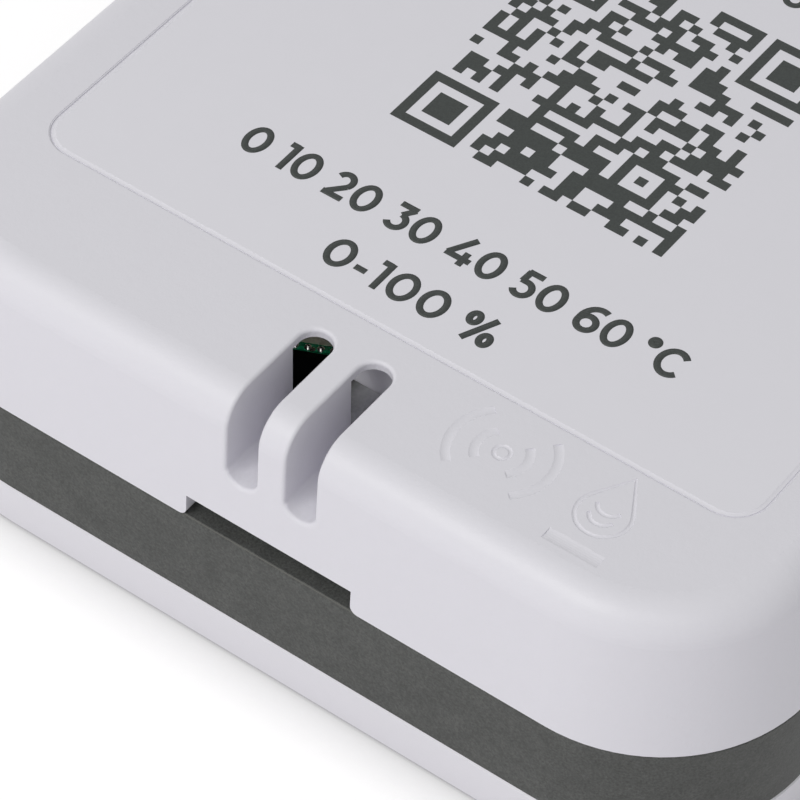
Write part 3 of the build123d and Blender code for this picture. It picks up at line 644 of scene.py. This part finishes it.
def swept_strokes(name, strokes, width, levels, rounded, material):
    """Closed mesh along strokes, with a rectangular or an elliptical section."""
    values = {
        "Width": width,
        "Height": levels[1] - levels[0],
        "Middle": (levels[0] + levels[1]) / 2,
        "Material": material,
    }
    tree, given = new_tree(name, values)
    path = tree.add("GeometryNodeSetCurveNormal", {"mode": "FREE"}, {
        "Curve": given.output("Geometry"), "Normal": (0, 0, 1)})
    if rounded:
        section = tree.add("GeometryNodeCurvePrimitiveCircle", None, {
            "Resolution": 24, "Radius": 0.5})
    else:
        section = tree.add("GeometryNodeCurvePrimitiveQuadrilateral", None, {
            "Width": 1.0, "Height": 1.0})
    sides = tree.vector(given.output("Height"), given.output("Width"), 1.0)
    sized = tree.add("GeometryNodeTransform", None, {"Geometry": section, "Scale": sides})
    swept = tree.add("GeometryNodeCurveToMesh", None, {
        "Curve": path, "Profile Curve": sized, "Fill Caps": True})
    joined = tree.add("GeometryNodeMeshBoolean", {"operation": "UNION", "solver": "EXACT"}, {
        "Mesh 2": swept, "Self Intersection": True})
    seated = tree.add("GeometryNodeSetPosition", None, {
        "Geometry": joined, "Offset": tree.vector(z=given.output("Middle"))})
    end_tree(tree, seated, given.output("Material"))
    return run_tree(tree, values, stroke_carrier(strokes))


def carry_normals(source, target):
    """Keep the smooth corner normals of the source where its corners are still there."""
    tree = kdtree.KDTree(len(source.loops))
    normals = [corner.vector.copy() for corner in source.corner_normals]
    for loop in source.loops:
        tree.insert(source.vertices[loop.vertex_index].co, loop.index)
    tree.balance()
    near_enough = 0.002 * MM
    like_enough = 0.8
    found = {}
    carried = []
    for polygon in target.polygons:
        for vertex_index in polygon.vertices:
            if vertex_index not in found:
                hits = tree.find_range(target.vertices[vertex_index].co, near_enough)
                found[vertex_index] = [normals[index] for _, index, _ in hits]
            best = max(found[vertex_index], key=polygon.normal.dot, default=polygon.normal)
            carried.append(best if polygon.normal.dot(best) > like_enough else polygon.normal)
    target.normals_split_custom_set(carried)


def weld(helper, distance):
    """Join the corners of a helper that are no further apart than asked."""
    helper.modifiers.new("Weld", "WELD").merge_threshold = distance


def merged_copy(mesh):
    """Copy of a CAD mesh whose loose triangles are joined at their corners."""
    helper = put_in_scene("merged", mesh.copy())
    weld(helper, 0.0002 * MM)
    return plain_mesh(helper)


def combined(solid, tool, operation):
    """Mesh of a solid to which another is added, or from which it is taken away."""
    helper = put_in_scene("carrier", solid)
    cutter = put_in_scene("cutter", tool)
    cut = helper.modifiers.new("Cut", "BOOLEAN")
    cut.operation = operation
    cut.solver = "EXACT"
    cut.object = cutter
    weld(helper, 0.0005 * MM)
    mesh = plain_mesh(helper)
    bpy.data.objects.remove(cutter)
    return mesh


def groove(strokes, width, depth, level, material):
    """Tube that cuts a rounded groove into a flat face, with its middle above the face."""
    depths_in_tube = 6
    tube_height = depths_in_tube * depth
    tube_width = width / math.sqrt(1 - (1 - 2 * depth / tube_height) ** 2)
    levels = (level - depth, level - depth + tube_height)
    return swept_strokes("groove", strokes, tube_width, levels, True, material)


def slot_end(slots, middle_x):
    """Half-round bar that cuts the lower end of a slot, and widens at the front face."""
    level = COVER_LOW.z + slots.level
    lean = math.tan(slots.draft)
    steps = 40
    soft_steps = 6
    # Each ring: how far behind the front face it lies, and how much wider than the slot it is
    rings = [(-2 * slots.edge, slots.edge)]
    for step in range(soft_steps + 1):
        behind = slots.edge * step / soft_steps
        inside = math.sqrt(max(0.0, slots.edge ** 2 - (slots.edge - behind) ** 2))
        rings.append((behind, slots.edge - inside))
    rings.append((slots.reach, 0.0))
    points = []
    for behind, wider in rings:
        for step in range(steps + 1):
            turn = math.pi * (1 + step / steps)
            x = middle_x + (slots.half_width + wider) * math.cos(turn)
            z = level + (slots.drop + wider) * math.sin(turn)
            points.append((x, COVER_LOW.y + lean * (z - COVER_LOW.z) + behind, z))
    size = steps + 1
    faces = [tuple(range(size)), tuple(reversed(range(len(points) - size, len(points))))]
    for ring in range(len(rings) - 1):
        for step in range(size):
            one, two = ring * size + step, ring * size + (step + 1) % size
            faces.append((two, one, one + size, two + size))
    bar = bpy.data.meshes.new("slot_end")
    bar.from_pydata(points, [], faces)
    return bar


class CLIMATE_OT_cover(bpy.types.Operator):
    """Make the cover with round slot ends and its two engraved marks, and finish it"""

    bl_idname = "climate.cover"
    bl_label = "Cover"

    def execute(self, context):
        marks = context.scene.climate_marks
        slots = context.scene.climate_slots
        sheet = context.scene.climate_print
        shell = shell_plastic("shell_plastic", context.scene.climate_housing.shell_tone)
        source = NODES["top_cover"].data
        solid = merged_copy(source)
        pocket = film_outline(marks.pocket_gap, sheet.film_corner)
        pocket_depth = 0.4 * marks.pocket_edge
        grooves = (
            (wave_strokes(marks), marks.wave_stroke, marks.depth),
            (drop_strokes(marks), marks.drop_stroke, marks.depth),
            (bar_strokes(marks), marks.bar_width, marks.depth),
            (pocket, marks.pocket_edge, pocket_depth),
        )
        for strokes, width, depth in grooves:
            tube = groove(strokes, width, depth, COVER_HIGH.z, shell.material)
            solid = combined(solid, tube, "DIFFERENCE")
        for side in (-0.5, 0.5):
            bar = slot_end(slots, slots.middle + side * slots.pitch)
            solid = combined(solid, bar, "DIFFERENCE")
        solid = combined(solid, self.bead(marks, sheet, shell.material), "UNION")
        carry_normals(source, solid)
        paint(solid, shell)
        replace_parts(link_piece("engraved_cover", solid), "top_cover")
        return {"FINISHED"}

    def bead(self, marks, sheet, material):
        """Strip that fills the gap between the pocket and the film, and reaches into the cover."""
        lap = 0.06 * MM
        root = 0.05 * MM
        levels = (FILM_LOW.z - root, COVER_HIGH.z - marks.pocket_bead)
        middle = (marks.pocket_gap + lap - sheet.edge_trim) / 2
        width = marks.pocket_gap + lap + sheet.edge_trim
        course = film_outline(middle, sheet.film_corner)
        return swept_strokes("bead", course, width, levels, False, material)


class CLIMATE_OT_label_film(bpy.types.Operator):
    """Press down the edge of the film and finish it"""

    bl_idname = "climate.label_film"
    bl_label = "Label film"

    def execute(self, context):
        fibre_size, fibre_depth = 0.11, 0.0018 * MM
        wave_size, wave_depth = 6.0, 0.03 * MM
        look = context.scene.climate_print
        film = Finish("label_film", 0.5, specular=0.4)
        fibre = film.tree.noise(film.point, fibre_size, 1.0)
        waviness = film.tree.noise(film.point, wave_size, 1.0)
        film.set("Base Color", film.shade(rgba(look.film_tone), 0.008, 1.7))
        film.set("Roughness", 0.48 + fibre * 0.08)
        film.bump((waviness, wave_depth), (fibre, fibre_depth))
        source = NODES["label_film"].data
        outline = film_outline(0.0, look.film_corner)
        edge = groove(outline, 2 * look.edge_width, look.edge_drop, FILM_HIGH.z, film.material)
        sheet = combined(merged_copy(source), edge, "DIFFERENCE")
        levels = (FILM_LOW.z - MM, FILM_HIGH.z + MM)
        rim = swept_strokes("rim", outline, 2 * look.edge_trim, levels, False, film.material)
        sheet = combined(sheet, rim, "DIFFERENCE")
        carry_normals(source, sheet)
        paint(sheet, film)
        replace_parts(link_piece("pressed_film", sheet), "label_film")
        return {"FINISHED"}


def ink_finish():
    """Dark ink that covers the film a little unevenly."""
    look = bpy.context.scene.climate_print
    ink = Finish("label_ink", 0.5, specular=0.35)
    speck = ink.tree.noise(ink.point, 0.14, 2.0)
    ink.set("Base Color", ink.shade(rgba(look.ink_tone), 0.5, 0.15))
    ink.set("Roughness", 0.42 + speck * 0.16)
    ink.bump((speck, 0.003 * MM))
    return ink


def pattern_tree(values):
    """Tree of a square field of printed squares with three corner eyes and a small one."""
    tree, given = new_tree("square_pattern", values)
    module, count = given.output("Module"), given.output("Count")
    side = module * count
    grid = tree.add("GeometryNodeMeshGrid", None, {
        "Size X": side, "Size Y": side, "Vertices X": count + 1, "Vertices Y": count + 1})
    x, y, _ = tree.parts(tree.add("GeometryNodeInputPosition"))
    column = (x / module + count / 2).floor()
    row = (y / module + count / 2).floor()
    # Middles of the eyes, in squares from the edges
    eye = 3
    small_eye = 6
    last = count - 1

    def distance(to_column, to_row):
        return abs(column - to_column).larger(abs(row - to_row))

    # Distances are whole numbers of squares, so each half lies between two of them
    upper = last - eye
    near_eye = distance(eye, eye).smaller(distance(eye, upper)).smaller(distance(upper, upper))
    near_small = distance(last - small_eye, small_eye)
    ring = abs(near_eye - eye) < 0.5
    core = near_eye < 1.5
    in_eye = near_eye < 4.5
    small_ring = abs(near_small - 2) < 0.5
    small_core = near_small < 0.5
    in_small = near_small < 2.5
    boolean_output = 3
    drawn = tree.add("FunctionNodeRandomValue", {"data_type": "BOOLEAN"}, {
        "Probability": given.output("Fill"), "Seed": given.output("Seed"),
        "ID": row * count + column}, boolean_output)
    free = (1 - in_eye) * (1 - in_small)
    printed = ring + core + (small_ring + small_core) * in_small + free * drawn
    left = tree.add("GeometryNodeDeleteGeometry", {"domain": "FACE"}, {
        "Geometry": grid, "Selection": printed < 0.5})
    raised = tree.add("GeometryNodeExtrudeMesh", {"mode": "FACES"}, {
        "Mesh": left, "Offset": (0, 0, 1), "Offset Scale": given.output("Height"),
        "Individual": False})
    under = tree.add("GeometryNodeFlipFaces", None, {"Mesh": left})
    whole = tree.add("GeometryNodeJoinGeometry", None, {"Geometry": [raised, under]})
    closed = tree.add("GeometryNodeMergeByDistance", None, {
        "Geometry": whole, "Distance": 0.001 * MM})
    seated = tree.add("GeometryNodeSetPosition", None, {
        "Geometry": closed, "Offset": given.output("Place")})
    end_tree(tree, seated, given.output("Material"))
    return tree


class CLIMATE_OT_square_pattern(bpy.types.Operator):
    """Print a field of squares that holds no message"""

    bl_idname = "climate.square_pattern"
    bl_label = "Square pattern"

    def execute(self, context):
        look = context.scene.climate_print
        values = {
            "Module": look.module,
            "Count": look.module_count,
            "Fill": look.pattern_fill,
            "Seed": look.pattern_seed,
            "Height": look.ink_height + look.ink_root,
            "Place": (*look.pattern_centre, FILM_HIGH.z - look.ink_root),
            "Material": ink_finish().material,
        }
        carrier = put_in_scene("squares", bpy.data.meshes.new("squares"))
        link_piece("printed_squares", run_tree(pattern_tree(values), values, carrier))
        return {"FINISHED"}


# Width and centre lines of each figure, whose height is one
FIGURES = {
    "0": (0.74, [arc((0.37, 0.5), (0.287, 0.417), 0, 360)]),
    "1": (0.33, [line((0.0, 0.917), (0.247, 0.917)), line((0.247, 1.0), (0.247, 0.0))]),
    "2": (0.64, [arc((0.31, 0.67), (0.235, 0.247), 160, -38), line((0.5, 0.52), (0.1, 0.11)),
                 line((0.0, 0.083), (0.64, 0.083))]),
    "3": (0.62, [line((0.04, 0.917), (0.58, 0.917)), line((0.53, 0.9), (0.29, 0.58)),
                 arc((0.29, 0.333), (0.25, 0.25), 90, -152)]),
    "4": (0.8, [line((0.53, 1.0), (0.08, 0.26)), line((0.02, 0.24), (0.8, 0.24)),
                line((0.58, 0.0), (0.58, 0.5))]),
    "5": (0.62, [line((0.1, 0.917), (0.58, 0.917)), line((0.16, 0.95), (0.13, 0.56)),
                 line((0.09, 0.583), (0.3, 0.583)), arc((0.29, 0.333), (0.25, 0.25), 90, -152)]),
    "6": (0.7, [arc((0.36, 0.33), (0.26, 0.247), 0, 360), line((0.1, 0.32), (0.1, 0.46)),
                arc((0.52, 0.45), (0.42, 0.467), 180, 68)]),
    "8": (0.68, [arc((0.34, 0.735), (0.225, 0.182), 0, 360),
                 arc((0.34, 0.31), (0.257, 0.227), 0, 360)]),
    "C": (0.76, [arc((0.45, 0.5), (0.367, 0.417), 42, 318)]),
    "%": (0.96, [arc((0.19, 0.74), (0.12, 0.175), 0, 360), arc((0.77, 0.26), (0.12, 0.175), 0, 360),
                 line((0.7, 1.0), (0.26, 0.0))]),
    "\u00b0": (0.32, [arc((0.16, 0.82), (0.1, 0.1), 0, 360)]),
    "-": (0.36, [line((0.02, 0.36), (0.34, 0.36))]),
    " ": (0.2, []),
}


def figure_strokes(body, corner, width, height):
    """Centre lines of a line of figures, from its lower left corner and as wide as asked."""
    gap = 0.13
    strokes = []
    reach = -gap
    for sign in body:
        advance, parts = FIGURES[sign]
        reach += gap
        strokes += [([(reach + x, y) for x, y in points], closed) for points, closed in parts]
        reach += advance
    stretch = width / reach
    return [([(corner[0] + x * stretch, corner[1] + y * height) for x, y in points], closed)
            for points, closed in strokes]


class CLIMATE_OT_figures(bpy.types.Operator):
    """Print the plain figures of the two scales and the line above"""

    bl_idname = "climate.figures"
    bl_label = "Figures"

    def execute(self, context):
        look = context.scene.climate_print
        ink = ink_finish()
        lines = {
            "printed_scale": ("0 10 20 30 40 50 60 \u00b0C", look.scale_corner, look.scale_width),
            "printed_range": ("0-100 %", look.range_corner, look.range_width),
            "printed_steps": ("0 20 40 60 80 100", look.upper_corner, look.upper_width),
        }
        levels = (FILM_HIGH.z - look.ink_root, FILM_HIGH.z + look.ink_height)
        for name, (body, corner, width) in lines.items():
            strokes = figure_strokes(body, corner, width, look.figure_height)
            mesh = swept_strokes(name, strokes, look.figure_stroke, levels, False, ink.material)
            link_piece(name, mesh)
        return {"FINISHED"}


def lead_metal(finish, body_mask, body_colour, metal_colour):
    """Give a finish bare metal outside a body."""
    finish.set("Base Color", finish.tree.blend(body_mask, metal_colour, body_colour))
    finish.set("Metallic", 1 - body_mask)


class CLIMATE_OT_boards(bpy.types.Operator):
    """Finish the circuit boards with solder mask, tracks and pads"""

    bl_idname = "climate.boards"
    bl_label = "Boards"

    def execute(self, context):
        look = context.scene.climate_inside
        dress(self.board(rgba(look.mask_tone), 0.0, 2.4), "circuit_board", "radio_board")
        dress(self.board(rgba(look.sensor_mask_lit_tone), math.radians(-25), 1.0), "sensor_board")
        return {"FINISHED"}

    def board(self, mask_colour, turn, pitch):
        """Solder mask over tracks that run along the board, with round pads between them."""
        half_track, pad_radius, bare_share = 0.16, 0.24, 0.72
        lighter = 1.9
        board = Finish("solder_mask" if turn == 0 else "sensor_mask", 0.3, coat=0.3)
        tree = board.tree
        x, y, _ = tree.parts(tree.moved(board.point, (0, 0, 0), turn))
        bend_pitches, jump_pitches, bends = 7, 4, 3
        bend = tree.noise(board.point, bend_pitches * pitch, 0.0)
        lane = ((y + jump_pitches * pitch * (bend * bends).floor()) / pitch).fraction()
        track = abs(lane - 0.5) < half_track
        cell_x = ((x / pitch).fraction() - 0.5) * pitch
        cell_y = ((y / pitch).fraction() - 0.5) * pitch
        from_pad = (cell_x * cell_x + cell_y * cell_y).root()
        chance = tree.add("ShaderNodeTexWhiteNoise", {"noise_dimensions": "2D"}, {
            "Vector": tree.vector((x / pitch).floor(), (y / pitch).floor())})
        pad = (from_pad < pad_radius * pitch) * (chance > bare_share)
        light_mask = rgba([min(1.0, part * lighter) for part in mask_colour[:3]])
        green = tree.blend(track, mask_colour, light_mask)
        if turn:
            # Sides of the sensor board near black: partly the board's dark core, partly painted
            # shade under the vent
            _, high = box_in_mm("sensor_board")
            side = board.parts()[2] < high.z - 0.05
            green = tree.blend(side, green, (0.012, 0.014, 0.01, 1.0))
        board.set("Base Color", tree.blend(pad, green, (0.62, 0.58, 0.48, 1)))
        board.set("Metallic", pad * 0.9)
        board.set("Roughness", 0.34 - pad * 0.08)
        board.bump((track.larger(pad), 0.02 * MM))
        return board


class CLIMATE_OT_chips(bpy.types.Operator):
    """Finish the sockets, the chips, the antenna, the sensor and the small parts"""

    bl_idname = "climate.chips"
    bl_label = "Chips and sockets"

    def execute(self, context):
        look = context.scene.climate_inside
        black, cream = rgba(look.black_tone), rgba(look.cap_tone)
        ceramic = rgba(look.ceramic_tone)
        tin, gold = (0.7, 0.69, 0.66, 1), (0.8, 0.66, 0.34, 1)
        socket = moulded_plastic(
            "socket_plastic", black, roughness=0.4, grain_size=0.2 * MM,
            grain_depth=0.004 * MM, mottle=0.1, speckle=0.1, specular=0.5,
        )
        dress(socket, "sensor_socket_front", "sensor_socket_rear", "battery_holder")
        for name in ("controller_chip", "memory_chip"):
            dress(self.leaded(name, black, tin), name)
        dress(self.header(black, gold), "programming_header")
        dress(self.capped("chip_resistors", black, tin, 1, 0.25), "chip_resistors")
        dress(self.capped("chip_capacitors", ceramic, tin, 0, 0.3), "chip_capacitors")
        dress(self.antenna(tin), "chip_antenna")
        dress(self.sensor(cream), "humidity_sensor")
        return {"FINISHED"}

    def leaded(self, name, black, tin):
        """Black moulded body with tinned leads round it and a dimple in one corner."""
        low, high = box_in_mm(name)
        lead = 0.55
        across = 0.0 if name == "memory_chip" else lead
        dimple_place, dimple_radius = 1.0, 0.35
        finish = Finish(name, 0.42)
        size = (high.x - low.x - 2 * across, high.y - low.y - 2 * lead, high.z - low.z + 1)
        body = finish.box((low + high) / 2, size)
        lead_metal(finish, body, black, tin)
        dimple = (low.x + across + dimple_place, low.y + lead + dimple_place, high.z)
        x, y, _ = finish.tree.parts(finish.tree.moved(finish.point, dimple))
        outside = (x * x + y * y).root() > dimple_radius
        finish.bump(finish.skin(0.12), (outside, 0.05 * MM))
        return finish

    def header(self, black, gold):
        """Black strip with gilt pins above it."""
        low, _ = box_in_mm("programming_header")
        strip_height = 1.2
        finish = Finish("header", 0.35)
        _, _, z = finish.parts()
        lead_metal(finish, z < low.z + strip_height, black, gold)
        finish.bump(finish.skin(0.2))
        return finish

    def capped(self, name, colour, tin, axis, cap):
        """Small parts with a tinned cap at both ends."""
        low, high = box_in_mm(name)
        finish = Finish(name, 0.45)
        along = finish.parts()[axis]
        part = 1.6
        gap = high[axis] - low[axis] - part
        pitch = gap if gap > part else 2 * part
        inside = ((along - low[axis]) / pitch).fraction() * pitch
        body = (inside > cap) * (inside < part - cap)
        lead_metal(finish, body, finish.shade(colour, 0.08, 0.5), tin)
        finish.bump(finish.skin(0.1))
        return finish

    def antenna(self, tin):
        """White ceramic block with a bare cap at both ends."""
        low, high = box_in_mm("chip_antenna")
        cap = 1.0
        finish = Finish("antenna_ceramic", 0.5)
        body = finish.box((low + high) / 2, (high.x - low.x - 2 * cap, 10, 10))
        lead_metal(finish, body, finish.shade((0.76, 0.76, 0.71, 1), 0.03, 0.6), tin)
        finish.bump(finish.skin(0.15))
        return finish

    def sensor(self, cap):
        """Cream body with a lighter, finely woven membrane."""
        _, high = box_in_mm("humidity_sensor")
        membrane_height = 0.1
        threads = 40
        finish = Finish("sensor_cap", 0.55)
        x, y, z = finish.parts()
        membrane = z > high.z - membrane_height
        weave = ((x * threads).sine() + (y * threads).sine()) * 0.25 + 0.5
        body = finish.shade(cap, 0.08, 0.4)
        finish.set("Base Color", finish.tree.blend(membrane, body, (0.86, 0.85, 0.8, 1)))
        finish.bump((weave * membrane, 0.01 * MM))
        return finish


class CLIMATE_OT_metal(bpy.types.Operator):
    """Finish the screws, the solder, the shield, the crystal, the can and the contacts"""

    bl_idname = "climate.metal"
    bl_label = "Metal pieces"

    def execute(self, context):
        steel = self.brushed("screw_steel", (0.56, 0.56, 0.57, 1), 0.32, (0.5, 0.5, 0.02))
        dress(steel, "plate_screws", "board_screws")
        dress(self.solder(), "sensor_pins_front", "sensor_pins_rear")
        shield = self.brushed("tinned_steel", (0.66, 0.65, 0.62, 1), 0.34, (0.03, 1.2, 0.3))
        dress(shield, "radio_shield", "crystal")
        spring = self.brushed("spring_steel", (0.68, 0.66, 0.62, 1), 0.28, (0.6, 0.6, 0.04))
        dress(spring, "terminal_front", "terminal_rear", "series_contact")
        dress(self.can(), "reservoir_capacitor")
        return {"FINISHED"}

    def brushed(self, name, colour, roughness, streak):
        """Metal with fine streaks, whose size is given along the three axes."""
        finish = Finish(name, roughness, metallic=1.0)
        tree = finish.tree
        stretched = tree.moved(finish.point, (0, 0, 0), 0.0, tuple(1 / size for size in streak))
        streaks = tree.noise(stretched, 1.0, 2.0)
        finish.set("Base Color", finish.shade(colour, 0.08, 1.5))
        finish.set("Roughness", roughness + (streaks - 0.5) * 0.2)
        finish.bump((streaks, 0.003 * MM))
        return finish

    def solder(self):
        """Bright solder with a slightly puckered skin."""
        finish = Finish("solder", 0.3, metallic=1.0)
        skin = finish.tree.noise(finish.point, 0.3, 1.0)
        finish.set("Base Color", finish.shade((0.96, 0.93, 0.88, 1), 0.06, 0.4))
        finish.set("Roughness", 0.24 + skin * 0.16)
        finish.bump((skin, 0.02 * MM))
        return finish

    def can(self):
        """Drawn can on a black foot, with a dark mark over a third of its end."""
        low, high = box_in_mm("reservoir_capacitor")
        foot_height = 1.02
        mark_width, mark_height = 2.6, 0.02
        finish = Finish("can_aluminium", 0.3)
        x, _, z = finish.parts()
        mark = (z > high.z - mark_height) * (x < low.x + mark_width)
        dark = (z < low.z + foot_height).larger(mark)
        metal = finish.shade((0.72, 0.72, 0.73, 1), 0.05, 1.0)
        finish.set("Base Color", finish.tree.blend(dark, metal, (0.02, 0.02, 0.024, 1)))
        finish.set("Metallic", 1 - dark)
        finish.set("Roughness", 0.28 + dark * 0.25)
        finish.bump(finish.skin(0.25))
        return finish


class CLIMATE_OT_cells(bpy.types.Operator):
    """Finish the two cells with a sleeve and bare ends"""

    bl_idname = "climate.cells"
    bl_label = "Cells"

    def execute(self, context):
        sleeve = rgba(context.scene.climate_inside.sleeve_tone)
        for name in ("cell_front", "cell_rear"):
            dress(self.sleeved(name, sleeve), name)
        return {"FINISHED"}

    def sleeved(self, name, sleeve):
        """Shrunk sleeve with a pale stripe round it, and bare metal at both ends."""
        low, high = box_in_mm(name)
        nub = 1.3
        lap = 0.4
        half_stripe = 4.0
        finish = Finish(name, 0.28)
        x, _, _ = finish.parts()
        covered = (x > low.x + lap) * (x < high.x - lap)
        nub_end = (x > high.x - nub).larger(x < low.x + nub)
        stripe = abs(x - (low.x + high.x) / 2) < half_stripe
        colour = finish.tree.blend(stripe, finish.shade(sleeve, 0.05, 3.0), (0.7, 0.7, 0.7, 1))
        lead_metal(finish, covered * (1 - nub_end), colour, (0.68, 0.67, 0.64, 1))
        wrinkle = finish.tree.noise(finish.point, 2.5, 2.0)
        finish.set("Roughness", 0.22 + wrinkle * 0.12)
        finish.bump((wrinkle, 0.03 * MM))
        return finish


def floor_finish(studio):
    """Pale floor that keeps the shadow, with a painted contact shadow near the plate and a veil of
    plain white where it is seen directly.
    """
    floor = Finish("studio_floor", 0.9, specular=0.0)
    tree = floor.tree
    # Colour and veil darker where ambient occlusion finds the plate near: painted contact shadow
    openness = tree.add("ShaderNodeAmbientOcclusion", {"samples": 16}, {
        "Distance": studio.contact_shadow_reach}, "AO")
    grey = tree.grey(1 - (1 - openness) * studio.contact_shadow_depth)
    floor.set("Base Color", tree.blend(1.0, rgba(studio.floor_tone), grey, "MULTIPLY"))
    veil = tree.add("ShaderNodeEmission", None, {"Color": grey, "Strength": studio.veil_level})
    plain = Value(tree, floor.shader.outputs[0])
    lit = tree.add("ShaderNodeMixShader", None, {0: studio.floor_veil, 1: plain, 2: veil})
    mixed = tree.add("ShaderNodeMixShader", None, {0: seen_directly(tree), 1: plain, 2: lit})
    tree.feed(tree.node_tree.nodes["Material Output"].inputs[0], mixed)
    return floor


def seen_directly(tree):
    """One where the camera sees something itself, in a reflection or through glass."""
    path = tree.add("ShaderNodeLightPath")
    glossy, through = path.output("Is Glossy Ray"), path.output("Is Transmission Ray")
    return path.output("Is Camera Ray").larger(glossy).larger(through)


class CLIMATE_OT_studio(bpy.types.Operator):
    """Build the floor, the lamps, the room light and the camera"""

    bl_idname = "climate.studio"
    bl_label = "Studio"

    def execute(self, context):
        studio = context.scene.climate_studio
        # Name: level, azimuth and elevation in degrees, distance and sides in metres
        lamps = {
            "key_lamp": (studio.key_level, (-14, 46), 0.7, (0.32, 0.3)),
            "side_lamp": (studio.side_level, (-70, 38), 0.6, (0.4, 0.4)),
            "fill_lamp": (studio.fill_level, (37, 46), 0.75, (0.14, 0.14)),
        }
        self.floor(studio)
        self.room(studio)
        for name, (level, direction, distance, size) in lamps.items():
            self.softbox(name, level, studio.key_tone, direction, distance, size)
        self.camera(studio)
        context.scene.view_settings.view_transform = "Standard"
        return {"FINISHED"}

    def floor(self, studio):
        """Wide floor just under the wall plate."""
        half = 1.5
        level = PLATE_LOW.z - studio.floor_gap
        mesh = bpy.data.meshes.new("studio_floor")
        corners = [(-half, -half), (half, -half), (half, half), (-half, half)]
        mesh.from_pydata([(x, y, level) for x, y in corners], [], [(0, 1, 2, 3)])
        mesh.materials.append(floor_finish(studio).material)
        put_in_scene("studio_floor", mesh)

    def room(self, studio):
        """White room for the camera, and softer light for the sensor."""
        world = bpy.data.worlds.new("room")
        bpy.context.scene.world = world
        world.use_nodes = True
        tree = Tree(world.node_tree)
        white = tree.add("ShaderNodeBackground", None, {"Color": (1, 1, 1, 1)})
        room = tree.add("ShaderNodeBackground", None, {
            "Color": rgba(studio.room_tone), "Strength": studio.room_level})
        mixed = tree.add("ShaderNodeMixShader", None, {0: seen_directly(tree), 1: room, 2: white})
        tree.feed(world.node_tree.nodes["World Output"].inputs[0], mixed)

    def softbox(self, name, level, colour, direction, distance, size):
        """Square lamp that looks at the middle of the sensor from an azimuth and elevation."""
        azimuth, elevation = (math.radians(turn) for turn in direction)
        light = bpy.data.lights.new(name, "AREA")
        light.shape = "RECTANGLE"
        light.size, light.size_y = size
        light.color = colour
        light.energy = level * math.pi ** 2 * distance ** 2
        middle = MIDDLE + outward(azimuth, elevation) * distance
        put_in_scene(name, light).matrix_world = looking(middle, azimuth, elevation, 0.0)

    def camera(self, studio):
        """Camera at the angle of the photograph."""
        data = bpy.data.cameras.new("photo_camera")
        data.sensor_width = 36.0
        data.lens = studio.focal_length
        data.clip_start = 0.01
        data.clip_end = 20.0
        aim = Vector((*studio.aim, COVER_HIGH.z))
        middle = aim + outward(studio.azimuth, studio.elevation) * studio.distance
        camera = put_in_scene("photo_camera", data)
        camera.matrix_world = looking(middle, studio.azimuth, studio.elevation, studio.roll)
        bpy.context.scene.camera = camera


def outward(azimuth, elevation):
    """Direction from the sensor to a place at an azimuth and elevation."""
    flat = math.cos(elevation)
    return Vector((math.sin(azimuth) * flat, -math.cos(azimuth) * flat, math.sin(elevation)))


def looking(place_of, azimuth, elevation, roll):
    """Matrix of a camera or lamp that looks inwards from a place."""
    turn = Matrix.Rotation(azimuth, 4, "Z") @ Matrix.Rotation(math.pi / 2 - elevation, 4, "X")
    return Matrix.Translation(place_of) @ turn @ Matrix.Rotation(roll, 4, "Z")


OPERATORS = (
    CLIMATE_OT_wall_plate,
    CLIMATE_OT_base_tray,
    CLIMATE_OT_cover,
    CLIMATE_OT_label_film,
    CLIMATE_OT_square_pattern,
    CLIMATE_OT_figures,
    CLIMATE_OT_boards,
    CLIMATE_OT_chips,
    CLIMATE_OT_metal,
    CLIMATE_OT_cells,
    CLIMATE_OT_studio,
)


class CLIMATE_PT_sensor(bpy.types.Panel):
    """Pieces of the sensor and its studio"""

    bl_label = "Climate sensor"
    bl_idname = "CLIMATE_PT_sensor"
    bl_space_type = "VIEW_3D"
    bl_region_type = "UI"
    bl_category = "Climate sensor"

    def draw(self, context):
        for operator in OPERATORS:
            self.layout.operator(operator.bl_idname)


def register():
    for key, group in GROUPS.items():
        bpy.utils.register_class(group)
        setattr(bpy.types.Scene, key, bpy.props.PointerProperty(type=group))
    for cls in (*OPERATORS, CLIMATE_PT_sensor):
        bpy.utils.register_class(cls)


def unregister():
    for cls in reversed((*OPERATORS, CLIMATE_PT_sensor)):
        bpy.utils.unregister_class(cls)
    for key, group in reversed(GROUPS.items()):
        delattr(bpy.types.Scene, key)
        bpy.utils.unregister_class(group)


def main():
    """Build every piece in order."""
    register()
    for operator in OPERATORS:
        getattr(bpy.ops.climate, operator.bl_idname.split(".")[1])()


if __name__ == "__main__":
    main()
